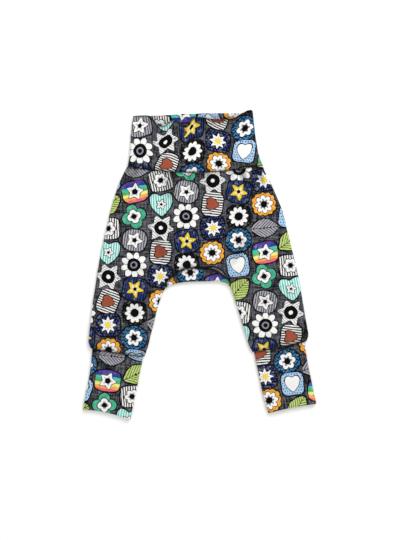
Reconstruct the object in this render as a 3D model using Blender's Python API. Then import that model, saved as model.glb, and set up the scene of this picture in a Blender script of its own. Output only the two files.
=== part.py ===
"""Baby harem joggers that lie flat on a table with their front up.

The garment is sewn from six pieces: a tall doubled waistband, a front and a back panel that each
hold both legs, a crotch gusset that wraps round under the crotch, and two long doubled cuffs. Each
piece is a cloth wall of its own, and the front lies on the back. Every section across the garment is
a flattened tube: two flat layers, joined by a soft roll at each side.

Frame: +Z points up from the table, +Y to the waist, and +X to the right of someone who looks down
at the front. The origin is on the table, under the middle of the garment. The tables are in
millimetres.
"""

import math

import bmesh
import bpy
import numpy as np
from mathutils import Vector

MM = 0.001

# Driving sizes.
ROLL = 2.4  # radius of the roll at each side
LIP = 0.3  # upright edge of a panel beside a side seam
SEAM_GAP = 0.3  # clear space between two sewn pieces
MIDDLE = ROLL + LIP + SEAM_GAP / 2  # height of the side seams above the table
JERSEY_WALL = 1.2  # front, back and gusset: one layer of jersey
DOUBLED_WALL = 1.9  # waistband and cuffs: the jersey folded double
WAIST_BOW = -11.0  # how far the waist seam sags between its ends
LEG_END_BOW = -1.2
LEFT_HEM_BOW = 4.2
RIGHT_HEM_BOW = 1.4

# Sections across the garment, from the top down: left x, left y, right x, right y.
BAND_SECTIONS = (
    (-106.2, 236.8, 84.9, 245.2),  # top corners
    (-108.8, 218.0, 87.6, 218.0),
    (-110.4, 196.0, 90.6, 196.0),
    (-111.4, 176.0, 94.4, 176.0),
    (-114.8, 157.2, 100.8, 159.0),  # waist seam
)
TORSO_SECTIONS = (
    (-114.8, 157.2, 100.8, 159.0),  # waist seam
    (-119.0, 150.6, 103.4, 150.6),
    (-123.4, 141.6, 107.6, 141.6),
    (-131.2, 122.8, 117.0, 122.8),
    (-142.4, 86.0, 132.4, 86.0),
    (-149.2, 55.6, 139.8, 55.6),
    (-156.0, 26.8, 147.0, 26.8),
    (-161.6, -2.0, 153.8, -2.0),
    (-166.0, -30.0, 160.0, -30.0),  # level with the ends of the gusset's seam
)
LEFT_LEG_SECTIONS = (
    (-166.0, -30.0, -54.6, -29.8),  # end of the gusset's seam
    (-167.8, -42.0, -54.0, -36.8),  # crotch corner
    (-169.6, -54.0, -59.8, -46.5),
    (-171.8, -70.0, -66.4, -66.0),
    (-174.2, -92.0, -72.0, -89.0),
    (-176.4, -112.0, -78.4, -114.0),
    (-177.2, -124.0, -83.2, -133.0),
    (-173.6, -133.6, -88.0, -146.6),  # leg end
)
RIGHT_LEG_SECTIONS = (
    (48.2, -26.0, 160.0, -30.0),  # end of the gusset's seam
    (47.0, -32.5, 161.8, -42.0),  # crotch corner
    (52.4, -43.5, 163.8, -54.0),
    (58.6, -62.0, 166.6, -70.0),
    (66.0, -87.0, 169.6, -88.0),
    (73.2, -110.0, 172.4, -103.0),
    (79.2, -129.0, 173.6, -112.4),
    (84.8, -139.4, 170.8, -121.6),  # leg end
)
LEFT_CUFF_SECTIONS = (
    (-171.4, -134.4, -90.6, -147.4),  # leg end
    (-172.6, -150.0, -92.8, -160.0),
    (-175.2, -172.0, -96.6, -178.0),
    (-180.8, -199.0, -102.0, -206.0),
    (-186.3, -231.0, -111.0, -247.4),  # hem
)
RIGHT_CUFF_SECTIONS = (
    (87.2, -139.6, 168.4, -122.6),  # leg end
    (90.0, -154.0, 170.8, -146.0),
    (94.8, -176.0, 175.4, -170.0),
    (101.0, -206.0, 181.2, -198.0),
    (109.4, -236.0, 186.3, -221.0),  # hem
)

# The fold under the crotch and the gusset's seam above it, from left to right: x, y.
CROTCH_FOLD = (
    (-54.0, -36.8),
    (-44.8, -32.2),
    (-30.0, -28.4),
    (-10.0, -26.8),
    (8.0, -26.4),
    (26.0, -26.2),
    (40.0, -28.0),
    (47.0, -32.5),
)
GUSSET_SEAM = (
    (-54.6, -29.8),
    (-47.4, -22.0),
    (-38.4, -14.8),
    (-27.7, -7.8),
    (-9.8, -5.0),
    (11.7, -5.7),
    (24.5, -9.2),
    (33.0, -14.6),
    (40.2, -19.8),
    (48.2, -26.0),
)

# The waistband's top edge, by the share of the width from the left: how far the front edge has
# slumped below a straight line between the corners, how far it stands up, and the back's slump.
BAND_TOP = (
    (0.000, 0.0, 0.0, 0.0),
    (0.120, 1.1, 1.2, 1.0),
    (0.155, 5.3, 1.5, 0.6),
    (0.181, 11.1, 1.3, 0.6),
    (0.205, 17.5, 0.7, 0.8),
    (0.239, 19.0, 0.5, 1.0),
    (0.277, 17.5, 0.7, 0.6),
    (0.306, 13.1, 1.3, 0.3),
    (0.357, 12.8, 1.8, 0.2),
    (0.402, 15.8, 0.9, -0.1),
    (0.435, 21.9, 0.4, -0.2),
    (0.465, 17.5, 0.4, 0.0),
    (0.494, 10.9, 0.7, 0.2),
    (0.532, 8.4, 1.3, 0.4),
    (0.590, 9.3, 1.8, -0.3),
    (0.665, 11.8, 1.5, 0.6),
    (0.749, 13.1, 0.8, 1.3),
    (0.816, 12.5, 0.8, 1.8),
    (0.861, 10.1, 1.2, 2.3),
    (0.899, 5.9, 1.5, 3.0),
    (0.941, 1.8, 1.3, 2.7),
    (0.972, -0.8, 0.6, 2.0),
    (0.988, -0.7, 0.3, 1.2),
    (1.000, 0.0, 0.0, 0.0),
)
BAND_LIFT_REACH = 55.0  # how far down the band the waves of its top edge run

# The largest creases of the front: start x, start y, end x, end y, half width, height.
FRONT_CREASES = (
    (60.0, 150.0, 74.0, 118.0, 8.0, -1.1),
    (44.0, 148.0, 50.0, 126.0, 7.0, 0.5),
    (-42.0, 142.0, -54.0, 104.0, 9.0, -0.7),
    (-62.0, -14.0, -112.0, 10.0, 11.0, 0.6),
    (54.0, -12.0, 104.0, 22.0, 11.0, 0.6),
    (-14.0, 6.0, -20.0, 44.0, 12.0, -0.7),
    (-156.0, -108.0, -106.0, -116.0, 9.0, 0.6),
    (96.0, -112.0, 148.0, -98.0, 9.0, 0.6),
)

# Mesh sizes: where a roll has points, and how many faces the flat stretches have.
ROLL_ANGLES = (0.0, 45.0, 90.0)
LEG_COLUMNS = 7
ARCH_COLUMNS = 10
TORSO_ROWS = 10
LEG_ROWS = 8
BAND_COLUMNS = 26
BAND_ROWS = 6
CUFF_COLUMNS = 7
CUFF_ROWS = 6
SPAN_STEPS = 12  # straight steps that a smooth line takes between two points of its table
ON_FOLD = 0.05  # a point this near a fold lies on it

SIDE_FADE = 4 * ROLL  # creases and waves die away over this distance from a side
CREASE_END = 0.15  # how far a crease's rise and fall is cut short at either end, as a share of pi

# How far in from its fold each point of a roll lies.
ROLL_INSETS = [ROLL * (1 - math.cos(math.radians(angle))) for angle in ROLL_ANGLES]

COLOURS = {
    "printed_jersey": (0.105, 0.125, 0.14, 1.0),
    "printed_jersey_doubled": (0.115, 0.13, 0.14, 1.0),
}


class Line:
    """A smooth line through the points of a table, measured along its length."""

    def __init__(self, points):
        knots = [Vector(point) for point in points]
        ends = [2 * knots[0] - knots[1], *knots, 2 * knots[-1] - knots[-2]]
        self.points = [knots[0]]
        for a, b, c, d in zip(ends, ends[1:], ends[2:], ends[3:]):
            for step in range(1, SPAN_STEPS + 1):
                self.points.append(spline_point(a, b, c, d, step / SPAN_STEPS))
        self.reach = [0.0]
        for a, b in zip(self.points, self.points[1:]):
            self.reach.append(self.reach[-1] + (b - a).length)

    def at(self, distance):
        """The point at this distance along the line."""
        i = int(np.searchsorted(self.reach, distance, side="right")) - 1
        i = min(max(i, 0), len(self.points) - 2)
        part = (distance - self.reach[i]) / (self.reach[i + 1] - self.reach[i])
        return self.points[i].lerp(self.points[i + 1], part)

    def stretch(self, first=0, last=None):
        """The stretch between two points of the table, as a function from a share to a point."""
        start = self.reach[first * SPAN_STEPS]
        end = self.reach[-1 if last is None else last * SPAN_STEPS]
        return lambda share: self.at(start + (end - start) * share)


def spline_point(a, b, c, d, t):
    """A Catmull-Rom point between b and c."""
    return 0.5 * (
        2 * b + t * (c - a) + t**2 * (2 * a - 5 * b + 4 * c - d) + t**3 * (3 * b - a - 3 * c + d)
    )


def left_points(sections):
    """The points of the left side fold of a table of sections."""
    return [row[:2] for row in sections]


def right_points(sections):
    """The points of the right side fold."""
    return [row[2:] for row in sections]


def straight(start, end):
    """The straight line between two points, as a function from a share to a point."""
    return lambda share: Vector(start).lerp(Vector(end), share)


def across(section, bow=0.0):
    """The line across a section, as such a function. It bends by bow, upwards if positive."""
    line = straight(section[:2], section[2:])
    return lambda share: line(share) + Vector((0.0, 4 * bow * share * (1 - share)))


def row_across(line, columns):
    """Points from one side roll to another: close together on the rolls, and even between them."""
    length = (line(1.0) - line(0.0)).length
    flat = length - 2 * ROLL_INSETS[-1]
    distances = [*ROLL_INSETS, *(ROLL_INSETS[-1] + flat * i / columns for i in range(1, columns))]
    distances += [length - inset for inset in reversed(ROLL_INSETS)]
    return [line(distance / length) for distance in distances]


def row_shares(row):
    """How far along a row each of its points lies, as a share of its length."""
    reach = [0.0]
    for a, b in zip(row, row[1:]):
        reach.append(reach[-1] + (b - a).length)
    return [distance / reach[-1] for distance in reach]


def loft(first, last, left, right, shares):
    """Rows of points that change from a first row to a last one. Their ends follow two lines."""
    first_shares, last_shares = row_shares(first), row_shares(last)
    rows = []
    for v in shares:
        left_off = left(v) - first[0].lerp(last[0], v)
        right_off = right(v) - first[-1].lerp(last[-1], v)
        row = []
        for a, b, first_u, last_u in zip(first, last, first_shares, last_shares):
            u = first_u + (last_u - first_u) * v
            row.append(a.lerp(b, v) + left_off * (1 - u) + right_off * u)
        rows.append(row)
    return rows


def steps(count, start=0.0, end=1.0):
    """Even shares from start to end."""
    return [start + (end - start) * i / count for i in range(count + 1)]


def table_value(table, at, column):
    """Reads a column of a table by the table's first column."""
    return float(np.interp(at, [row[0] for row in table], [row[column] for row in table]))


def crease_height(point):
    """How far the creases raise or sink the front here."""
    height = 0.0
    for x0, y0, x1, y1, half_width, rise in FRONT_CREASES:
        start, run = Vector((x0, y0)), Vector((x1 - x0, y1 - y0))
        share = min(max((point - start).dot(run) / run.length_squared, 0.0), 1.0)
        off = (point - start - run * share).length
        swell = math.sin(math.pi * (CREASE_END + (1 - 2 * CREASE_END) * share))
        height += rise * swell * math.exp(-((off / half_width) ** 2))
    return height


def band_lift(point):
    """How far the waistband's front stands up here. The waves fade towards the waist seam."""
    x0, y0, x1, y1 = BAND_SECTIONS[0]
    share = (point.x - x0) / (x1 - x0)
    depth = y0 + (y1 - y0) * share - point.y
    return table_value(BAND_TOP, share, 2) * max(1 - depth / BAND_LIFT_REACH, 0.0)


def no_lift(point):
    """A piece that lies flat stands up nowhere."""
    return 0.0


class Cloth:
    """The outer surface of one sewn piece, which rolls round its fold lines."""

    def __init__(self, folds, lift=no_lift):
        self.mesh = bmesh.new()
        self.lift = lift
        self.fold_starts = np.array([p for fold in folds for p in fold[:-1]])
        self.fold_runs = np.array([p for fold in folds for p in fold[1:]]) - self.fold_starts
        self.vertices = {}

    def off_fold(self, point):
        """How far from the nearest fold a point lies."""
        off = np.array(point) - self.fold_starts
        along = (off * self.fold_runs).sum(1) / (self.fold_runs**2).sum(1)
        nearest = off - self.fold_runs * np.clip(along, 0.0, 1.0)[:, None]
        return float(np.sqrt((nearest**2).sum(1).min()))

    def vertex(self, point, side, lip=False):
        """The vertex over this point: side is 1 on the front and -1 on the back."""
        key = (round(point.x, 2), round(point.y, 2), side, lip)
        if key not in self.vertices:
            off = self.off_fold(point)
            turn = 0.0 if off < ON_FOLD else math.acos(max(1 - off / ROLL, 0.0))
            height = SEAM_GAP / 2 if lip else SEAM_GAP / 2 + LIP + ROLL * math.sin(turn)
            if side > 0:
                height += self.lift(point) * min(off / SIDE_FADE, 1.0)
            place = (point.x * MM, point.y * MM, (MIDDLE + side * height) * MM)
            self.vertices[key] = self.mesh.verts.new(place)
        return self.vertices[key]

    def row(self, points, side, left_lip=False, right_lip=False):
        """The vertices of a row of points, with the lip of a side seam at either end."""
        row = [self.vertex(point, side) for point in points]
        if left_lip:
            row.insert(0, self.vertex(points[0], side, lip=True))
        if right_lip:
            row.append(self.vertex(points[-1], side, lip=True))
        return row

    def faces(self, rows, side=1, closed=False):
        """Faces between rows of vertices. A closed row joins its last vertex to its first."""
        for upper, lower in zip(rows, rows[1:]):
            for i in range(len(upper) if closed else len(upper) - 1):
                j = (i + 1) % len(upper)
                face = (upper[i], lower[i], lower[j], upper[j])
                self.mesh.faces.new(face if side > 0 else face[::-1])


def fabric(name):
    """A matt cloth material in one of the garment's colours."""
    if name in bpy.data.materials:
        return bpy.data.materials[name]
    material = bpy.data.materials.new(name)
    material.use_nodes = True
    shader = material.node_tree.nodes["Principled BSDF"]
    shader.inputs["Base Color"].default_value = COLOURS[name]
    shader.inputs["Roughness"].default_value = 0.9
    shader.inputs["Metallic"].default_value = 0.0
    return material


def add_piece(name, cloth, wall, material, garment):
    """Makes a sewn piece of its outer surface. Its wall grows inwards."""
    mesh = bpy.data.meshes.new(name)
    cloth.mesh.to_mesh(mesh)
    cloth.mesh.free()
    mesh.shade_smooth()
    mesh.materials.append(fabric(material))
    piece = bpy.data.objects.new(name, mesh)
    bpy.context.scene.collection.objects.link(piece)
    piece.parent = garment
    solid = piece.modifiers.new("cloth wall", "SOLIDIFY")
    solid.thickness = wall * MM
    solid.offset = -1.0
    solid.use_even_offset = True
    solid.use_rim = True


def add_tube(name, sections, front, back, columns, shares, lift, garment):
    """A flattened tube of doubled jersey. front and back hold a first and a last line across."""
    left, right = Line(left_points(sections)), Line(right_points(sections))
    cloth = Cloth([left.points, right.points], lift)
    layers = []
    for first, last in (front, back):
        first, last = row_across(first, columns), row_across(last, columns)
        layers.append(loft(first, last, left.stretch(), right.stretch(), shares))
    rings = [cloth.row(upper, 1) + cloth.row(under, -1)[::-1] for upper, under in zip(*layers)]
    cloth.faces(rings, closed=True)
    add_piece(name, cloth, DOUBLED_WALL, "printed_jersey_doubled", garment)


def add_waistband(garment):
    """The waistband, whose front edge has slumped below its back edge. It ends at the waist seam."""
    corners = across(BAND_SECTIONS[0])
    waist = across(BAND_SECTIONS[-1], WAIST_BOW)

    def edge(column):
        """The top edge of the front (column 1) or the back (column 3)."""
        return lambda share: corners(share) - Vector((0.0, table_value(BAND_TOP, share, column)))

    shares = steps(BAND_ROWS, end=1 - SEAM_GAP / (corners(0.5) - waist(0.5)).length)
    front, back = (edge(1), waist), (edge(3), waist)
    add_tube("waistband", BAND_SECTIONS, front, back, BAND_COLUMNS, shares, band_lift, garment)


def add_cuff(name, sections, hem_bow, garment):
    """A cuff, from just below the end of its leg to the hem."""
    top, hem = across(sections[0], LEG_END_BOW), across(sections[-1], hem_bow)
    shares = steps(CUFF_ROWS, start=SEAM_GAP / (top(0.5) - hem(0.5)).length)
    layer = (top, hem)
    add_tube(name, sections, layer, layer, CUFF_COLUMNS, shares, no_lift, garment)


def arch_shares():
    """Shares along the crotch where a column of points runs up from the fold."""
    return steps(ARCH_COLUMNS)[1:-1]


def add_gusset(garment):
    """The gusset: it runs down from the front's seam, round the crotch fold and up the back."""
    fold, seam = Line(CROTCH_FOLD), Line(GUSSET_SEAM).stretch()
    columns = []
    for share in [0.0, *arch_shares(), 1.0]:
        corner = fold.at(fold.reach[-1] * share)
        foot = fold.at(min(max(fold.reach[-1] * share, SEAM_GAP), fold.reach[-1] - SEAM_GAP))
        up = seam(share) - corner
        width = up.length - SEAM_GAP
        distances = [*ROLL_INSETS, (ROLL_INSETS[-1] + width) / 2, width]
        columns.append([foot + up.normalized() * distance for distance in distances])
    cloth = Cloth([fold.points])
    levels = list(zip(*columns))
    front = [cloth.row(level, 1) for level in reversed(levels)]
    back = [cloth.row(level, -1) for level in levels]
    cloth.faces(front + back)
    add_piece("gusset", cloth, JERSEY_WALL, "printed_jersey", garment)


def add_panel(name, side, garment):
    """The front (side 1) or the back (side -1): the torso and both legs, in one piece of cloth."""
    left = Line(left_points(TORSO_SECTIONS) + left_points(LEFT_LEG_SECTIONS[1:]))
    right = Line(right_points(TORSO_SECTIONS) + right_points(RIGHT_LEG_SECTIONS[1:]))
    left_inseam = Line(right_points(LEFT_LEG_SECTIONS[1:]))
    right_inseam = Line(left_points(RIGHT_LEG_SECTIONS[1:]))
    seam, crotch = Line(GUSSET_SEAM).stretch(), Line(CROTCH_FOLD)
    folds = [line.points for line in (left, right, crotch, left_inseam, right_inseam)]
    cloth = Cloth(folds, crease_height)
    yoke_level = len(TORSO_SECTIONS) - 1
    corner_level = yoke_level + 1

    # The yoke row runs from side to side along the gusset's seam. The torso is above it.
    left_yoke = row_across(across(LEFT_LEG_SECTIONS[0]), LEG_COLUMNS)
    right_yoke = row_across(across(RIGHT_LEG_SECTIONS[0]), LEG_COLUMNS)
    yoke = [*left_yoke, *(seam(share) for share in arch_shares()), *right_yoke]
    waist = row_across(across(TORSO_SECTIONS[0], WAIST_BOW), len(yoke) - 2 * len(ROLL_INSETS) + 1)
    sides = left.stretch(0, yoke_level), right.stretch(0, yoke_level)
    torso = loft(waist, yoke, *sides, steps(TORSO_ROWS))
    cloth.faces([cloth.row(row, side, True, True) for row in torso], side)

    # A leg first runs beside the gusset, to the crotch corner. Then it has a fold on both sides.
    legs = (
        (LEFT_LEG_SECTIONS, left_yoke, left, left_inseam, True),
        (RIGHT_LEG_SECTIONS, right_yoke, right, right_inseam, False),
    )
    for sections, top, outer, inseam, outer_is_left in legs:
        corner = row_across(across(sections[1]), LEG_COLUMNS)
        end = row_across(across(sections[-1], LEG_END_BOW), LEG_COLUMNS)
        inner_end = -1 if outer_is_left else 0
        gusset_end = straight(top[inner_end], corner[inner_end])
        beside_gusset = [outer.stretch(yoke_level, corner_level), gusset_end]
        below_corner = [outer.stretch(corner_level), inseam.stretch()]
        if not outer_is_left:
            beside_gusset.reverse()
            below_corner.reverse()
        width = (gusset_end(1.0) - gusset_end(0.0)).length
        shares = [0.0, *(1 - inset / width for inset in reversed(ROLL_INSETS))]
        rows = loft(top, corner, *beside_gusset, shares)
        cloth.faces([cloth.row(row, side, outer_is_left, not outer_is_left) for row in rows], side)
        rows = loft(corner, end, *below_corner, steps(LEG_ROWS))
        cloth.faces([cloth.row(row, side, True, True) for row in rows], side)
    add_piece(name, cloth, JERSEY_WALL, "printed_jersey", garment)


def build():
    """Clears the scene and builds the garment."""
    for old in list(bpy.data.objects):
        bpy.data.objects.remove(old, do_unlink=True)
    garment = bpy.data.objects.new("joggers", None)
    bpy.context.scene.collection.objects.link(garment)
    add_waistband(garment)
    add_panel("front", 1, garment)
    add_panel("back", -1, garment)
    add_gusset(garment)
    add_cuff("left_cuff", LEFT_CUFF_SECTIONS, LEFT_HEM_BOW, garment)
    add_cuff("right_cuff", RIGHT_CUFF_SECTIONS, RIGHT_HEM_BOW, garment)


build()
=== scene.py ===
# %% [markdown]
# # Baby joggers, laid flat
#
# These joggers are sewn from printed cotton jersey: a tall fold-over waistband, a front and a back
# that each hold both legs, a crescent gusset under the crotch, and two long cuffs. They lie on a
# table with their front up. The lesson makes each sewn piece as a sheet of cloth and then draws its
# print with shader nodes.
#
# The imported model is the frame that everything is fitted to. It gives the sizes, and the new cloth
# stands in for its plain solids. Lengths of the garment are in millimetres until a point is placed.
# The camera, the table and the lamp are placed in metres.

# %% The frame and a few tools
import math

import bpy
import numpy as np
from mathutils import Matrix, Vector, noise


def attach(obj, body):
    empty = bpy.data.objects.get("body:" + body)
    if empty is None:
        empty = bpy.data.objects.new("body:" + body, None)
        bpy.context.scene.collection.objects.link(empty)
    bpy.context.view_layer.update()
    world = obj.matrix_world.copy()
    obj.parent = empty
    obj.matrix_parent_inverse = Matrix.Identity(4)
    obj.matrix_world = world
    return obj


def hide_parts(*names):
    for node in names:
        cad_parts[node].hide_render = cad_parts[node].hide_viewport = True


MM = 0.001

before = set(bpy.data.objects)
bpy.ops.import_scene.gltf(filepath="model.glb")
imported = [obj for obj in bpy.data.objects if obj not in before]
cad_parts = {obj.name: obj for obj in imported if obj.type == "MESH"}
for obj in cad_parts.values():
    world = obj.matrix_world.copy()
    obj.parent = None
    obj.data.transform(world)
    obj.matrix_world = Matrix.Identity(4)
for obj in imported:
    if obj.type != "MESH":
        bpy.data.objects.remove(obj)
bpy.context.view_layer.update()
bpy.ops.object.select_all(action="DESELECT")
print("sewn pieces:", ", ".join(sorted(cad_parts)))

# %% [markdown]
# ## Camera
#
# Someone stood over the garment and looked straight down, so the camera does too. A long lens a
# metre and a half up keeps the cloth nearly free of perspective. An orthographic camera would have
# none at all, but no eye sees that way.

# %% Camera
VIEW_ASPECT = 4 / 3  # height over width
FIELD_WIDTH = 0.648  # width of the view at the cloth
CAMERA_HEIGHT = 1.55
VIEW_MIDDLE = (0.0046, -0.0084)
SENSOR = 36.0  # long side of the sensor

camera_data = bpy.data.cameras.new("overhead camera")
camera_data.sensor_width = SENSOR
camera_data.lens = SENSOR * CAMERA_HEIGHT / (FIELD_WIDTH * VIEW_ASPECT)
camera = bpy.data.objects.new("overhead camera", camera_data)
camera.location = (*VIEW_MIDDLE, CAMERA_HEIGHT)
bpy.context.scene.collection.objects.link(camera)
bpy.context.scene.camera = camera
bpy.context.scene.view_settings.view_transform = "Standard"
print("lens", round(camera_data.lens, 1), "mm")

# %% [markdown]
# ## Table and light
#
# The table is a plain white sheet. One wide soft lamp above the waist, a little to the right, gives
# each edge a soft shadow below it and to its left, and a bright sky fills the rest. A wide lamp was
# chosen over a small one because its shadows fade out, as they do near a window.

# %% Table and light
TABLE_SIZE = 24.0  # wide enough to have no edge in sight
TABLE_LEVEL = -0.0002  # a hair under the cloth


def set_inputs(node, **values):
    """Sets a node's inputs by their names, with _ for a space."""
    for name, value in values.items():
        node.inputs[name.replace("_", " ")].default_value = value


def new_material(name):
    """A material and its Principled shader."""
    material = bpy.data.materials.new(name)
    material.use_nodes = True
    return material, material.node_tree.nodes["Principled BSDF"]


bpy.ops.mesh.primitive_plane_add(size=TABLE_SIZE, location=(0.0, 0.0, TABLE_LEVEL))
table = bpy.context.object
table.name = "table"
white_table, table_shader = new_material("white table")
set_inputs(table_shader, Base_Color=(0.8, 0.8, 0.8, 1.0), Roughness=0.9, Specular_IOR_Level=0.2)
table.data.materials.append(white_table)


def add_lamp(name, place, size, power, color):
    """A square soft lamp that looks at the middle of the table."""
    lamp = bpy.data.lights.new(name, "AREA")
    lamp.shape = "SQUARE"
    lamp.size = size
    lamp.energy = power
    lamp.color = color
    lamp_object = bpy.data.objects.new(name, lamp)
    lamp_object.location = place
    lamp_object.rotation_euler = (-Vector(place)).to_track_quat("-Z", "Y").to_euler()
    bpy.context.scene.collection.objects.link(lamp_object)


add_lamp("window lamp", place=(0.75, 1.55, 1.05), size=1.3, power=38.0, color=(0.94, 0.97, 1.0))
sky = bpy.data.worlds.new("bright room")
sky.use_nodes = True
set_inputs(sky.node_tree.nodes["Background"], Color=(1.0, 0.988, 0.965, 1.0), Strength=1.08)
bpy.context.scene.world = sky
print("the table is", table.dimensions.x, "m wide, lit by", bpy.data.lights[0].energy, "watts and a sky")

# %% [markdown]
# ## The sections
#
# A pattern cutter would describe flat trousers by lines across them. Each row below is one such
# section: the places of the left and the right side fold, from the top down. They are the sections
# that the solids were made from, so the cloth fits the frame. The tables are short because a smooth
# curve through a few points gives the softness of real cloth, and many points would only freeze it.

# %% The sections: left x, left y, right x, right y
WAIST_SECTION = (-114.8, 157.2, 100.8, 159.0)
BAND_SECTIONS = (
    (-106.2, 236.8, 84.9, 245.2),  # top corners
    (-108.8, 218.0, 87.6, 218.0),
    (-110.4, 196.0, 90.6, 196.0),
    (-111.4, 176.0, 94.4, 176.0),
    WAIST_SECTION,
)
TORSO_SECTIONS = (
    WAIST_SECTION,
    (-119.0, 150.6, 103.4, 150.6),
    (-123.4, 141.6, 107.6, 141.6),
    (-131.2, 122.8, 117.0, 122.8),
    (-142.4, 86.0, 132.4, 86.0),
    (-149.2, 55.6, 139.8, 55.6),
    (-156.0, 26.8, 147.0, 26.8),
    (-161.6, -2.0, 153.8, -2.0),
    (-166.0, -30.0, 160.0, -30.0),  # level of the ends of the gusset's seam
)
LEFT_LEG_SECTIONS = (
    (-166.0, -30.0, -54.6, -29.8),  # end of the gusset's seam
    (-167.8, -42.0, -54.0, -36.8),  # crotch corner
    (-169.6, -54.0, -59.8, -46.5),
    (-171.8, -70.0, -66.4, -66.0),
    (-174.2, -92.0, -72.0, -89.0),
    (-176.4, -112.0, -78.4, -114.0),
    (-177.2, -124.0, -83.2, -133.0),
    (-173.6, -133.6, -88.0, -146.6),  # leg end
)
RIGHT_LEG_SECTIONS = (
    (48.2, -26.0, 160.0, -30.0),  # end of the gusset's seam
    (47.0, -32.5, 161.8, -42.0),  # crotch corner
    (52.4, -43.5, 163.8, -54.0),
    (58.6, -62.0, 166.6, -70.0),
    (66.0, -87.0, 169.6, -88.0),
    (73.2, -110.0, 172.4, -103.0),
    (79.2, -129.0, 173.6, -112.4),
    (84.8, -139.4, 170.8, -121.6),  # leg end
)
LEFT_CUFF_SECTIONS = (
    (-171.4, -134.4, -90.6, -147.4),  # leg end
    (-172.6, -150.0, -92.8, -160.0),
    (-175.2, -172.0, -96.6, -178.0),
    (-180.8, -199.0, -102.0, -206.0),
    (-186.3, -231.0, -111.0, -247.4),  # hem
)
RIGHT_CUFF_SECTIONS = (
    (87.2, -139.6, 168.4, -122.6),  # leg end
    (90.0, -154.0, 170.8, -146.0),
    (94.8, -176.0, 175.4, -170.0),
    (101.0, -206.0, 181.2, -198.0),
    (109.4, -236.0, 186.3, -221.0),  # hem
)
CROTCH_FOLD = (  # x, y, from one crotch corner to the other
    LEFT_LEG_SECTIONS[1][2:],
    (-44.8, -32.2),
    (-30.0, -28.4),
    (-10.0, -26.8),
    (8.0, -26.4),
    (26.0, -26.2),
    (40.0, -28.0),
    RIGHT_LEG_SECTIONS[1][:2],
)
GUSSET_SEAM = (  # x, y
    LEFT_LEG_SECTIONS[0][2:],
    (-47.4, -22.0),
    (-38.4, -14.8),
    (-27.7, -7.8),
    (-9.8, -5.0),
    (11.7, -5.7),
    (24.5, -9.2),
    (33.0, -14.6),
    (40.2, -19.8),
    RIGHT_LEG_SECTIONS[0][:2],
)
# How far a line rises between its ends, or sags if negative.
WAIST_BOW = -11.0
LEG_END_BOW = -1.2
LEFT_HEM_BOW = 4.2
RIGHT_HEM_BOW = 1.4
print("each leg has", len(LEFT_LEG_SECTIONS), "sections and each cuff", len(LEFT_CUFF_SECTIONS))

# %% [markdown]
# ## Smooth lines
#
# A Catmull-Rom curve passes through every point of its table, so the tables stay readable: what is
# written is where the cloth goes. `Line` also measures: it says how far a point of the cloth lies
# from a seam or a fold, and how far along it. Everything that follows a seam, such as its groove
# and its little gathers, is worked out from those two numbers.

# %% Smooth lines
SPAN_STEPS = 12  # straight steps between two points of a table


def spline_point(a, b, c, d, t):
    """A Catmull-Rom point between b and c."""
    return 0.5 * (
        2 * b + t * (c - a) + t**2 * (2 * a - 5 * b + 4 * c - d) + t**3 * (3 * b - a - 3 * c + d)
    )


class Line:
    """A smooth line through the points of a table, measured along its length."""

    def __init__(self, points):
        knots = [np.array(point, float) for point in points]
        ends = [2 * knots[0] - knots[1], *knots, 2 * knots[-1] - knots[-2]]
        fine = [knots[0]]
        for a, b, c, d in zip(ends, ends[1:], ends[2:], ends[3:]):
            fine += [spline_point(a, b, c, d, step / SPAN_STEPS) for step in range(1, SPAN_STEPS + 1)]
        self.points = np.array(fine)
        self.runs = np.diff(self.points, axis=0)
        self.reach = np.concatenate([[0.0], np.cumsum(np.hypot(*self.runs.T))])

    def stretch(self, first=0, last=None):
        """The stretch between two points of the table, as a function from shares to points."""
        start = self.reach[first * SPAN_STEPS]
        end = self.reach[-1 if last is None else last * SPAN_STEPS]
        return lambda share: self.at(start + (end - start) * np.asarray(share, float))

    def at(self, distance):
        """The points at these distances along the line."""
        return np.stack([np.interp(distance, self.reach, self.points[:, k]) for k in (0, 1)], -1)

    def measure(self, places):
        """For each place: the nearest point of the line, its distance along, and which side."""
        away = places[:, None, :] - self.points[None, :-1, :]
        squared = (self.runs**2).sum(1)
        along = np.clip((away * self.runs).sum(2) / squared, 0.0, 1.0)
        nearest = self.points[:-1] + self.runs * along[..., None]
        off = np.hypot(*np.moveaxis(places[:, None, :] - nearest, 2, 0))
        best = off.argmin(1)
        rows = np.arange(len(places))
        run, to_place = self.runs[best], places - nearest[rows, best]
        side = np.sign(run[:, 0] * to_place[:, 1] - run[:, 1] * to_place[:, 0])
        reach = self.reach[best] + along[rows, best] * np.sqrt(squared[best])
        return nearest[rows, best], off[rows, best], reach, side


# %% [markdown]
# ## Folds and seams
#
# The tables give two kinds of line. Down the garment, the left ends of the sections make one side
# fold and their right ends the other. Across it, a seam runs from end to end of one section, and
# bends a little, because cloth that hangs from two corners sags between them.

# %% Folds and seams
SEAM_POINTS = 9  # points that a bowed seam is read at


def side_folds(sections):
    """The lines of the left and the right side fold of some sections."""
    return Line([row[:2] for row in sections]), Line([row[2:] for row in sections])


def across(section, bow=0.0):
    """The line across a section, as a function of shares. It bends by bow, upwards if positive."""
    start, end = np.array(section[:2]), np.array(section[2:])

    def line(share):
        share = np.asarray(share, float)[..., None]
        return start + (end - start) * share + np.array([0.0, 4 * bow]) * share * (1 - share)

    return line


def seam_line(section, bow):
    """A seam across a section as a Line that can measure."""
    return Line(across(section, bow)(np.linspace(0.0, 1.0, SEAM_POINTS)))


waist_seam = seam_line(WAIST_SECTION, WAIST_BOW)
leg_seams = [seam_line(table[-1], LEG_END_BOW) for table in (LEFT_LEG_SECTIONS, RIGHT_LEG_SECTIONS)]
gusset_seam = Line(GUSSET_SEAM)
crotch_fold = Line(CROTCH_FOLD)
print("waist seam", round(waist_seam.reach[-1]), "mm, gusset", round(gusset_seam.reach[-1]), "mm")

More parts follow.
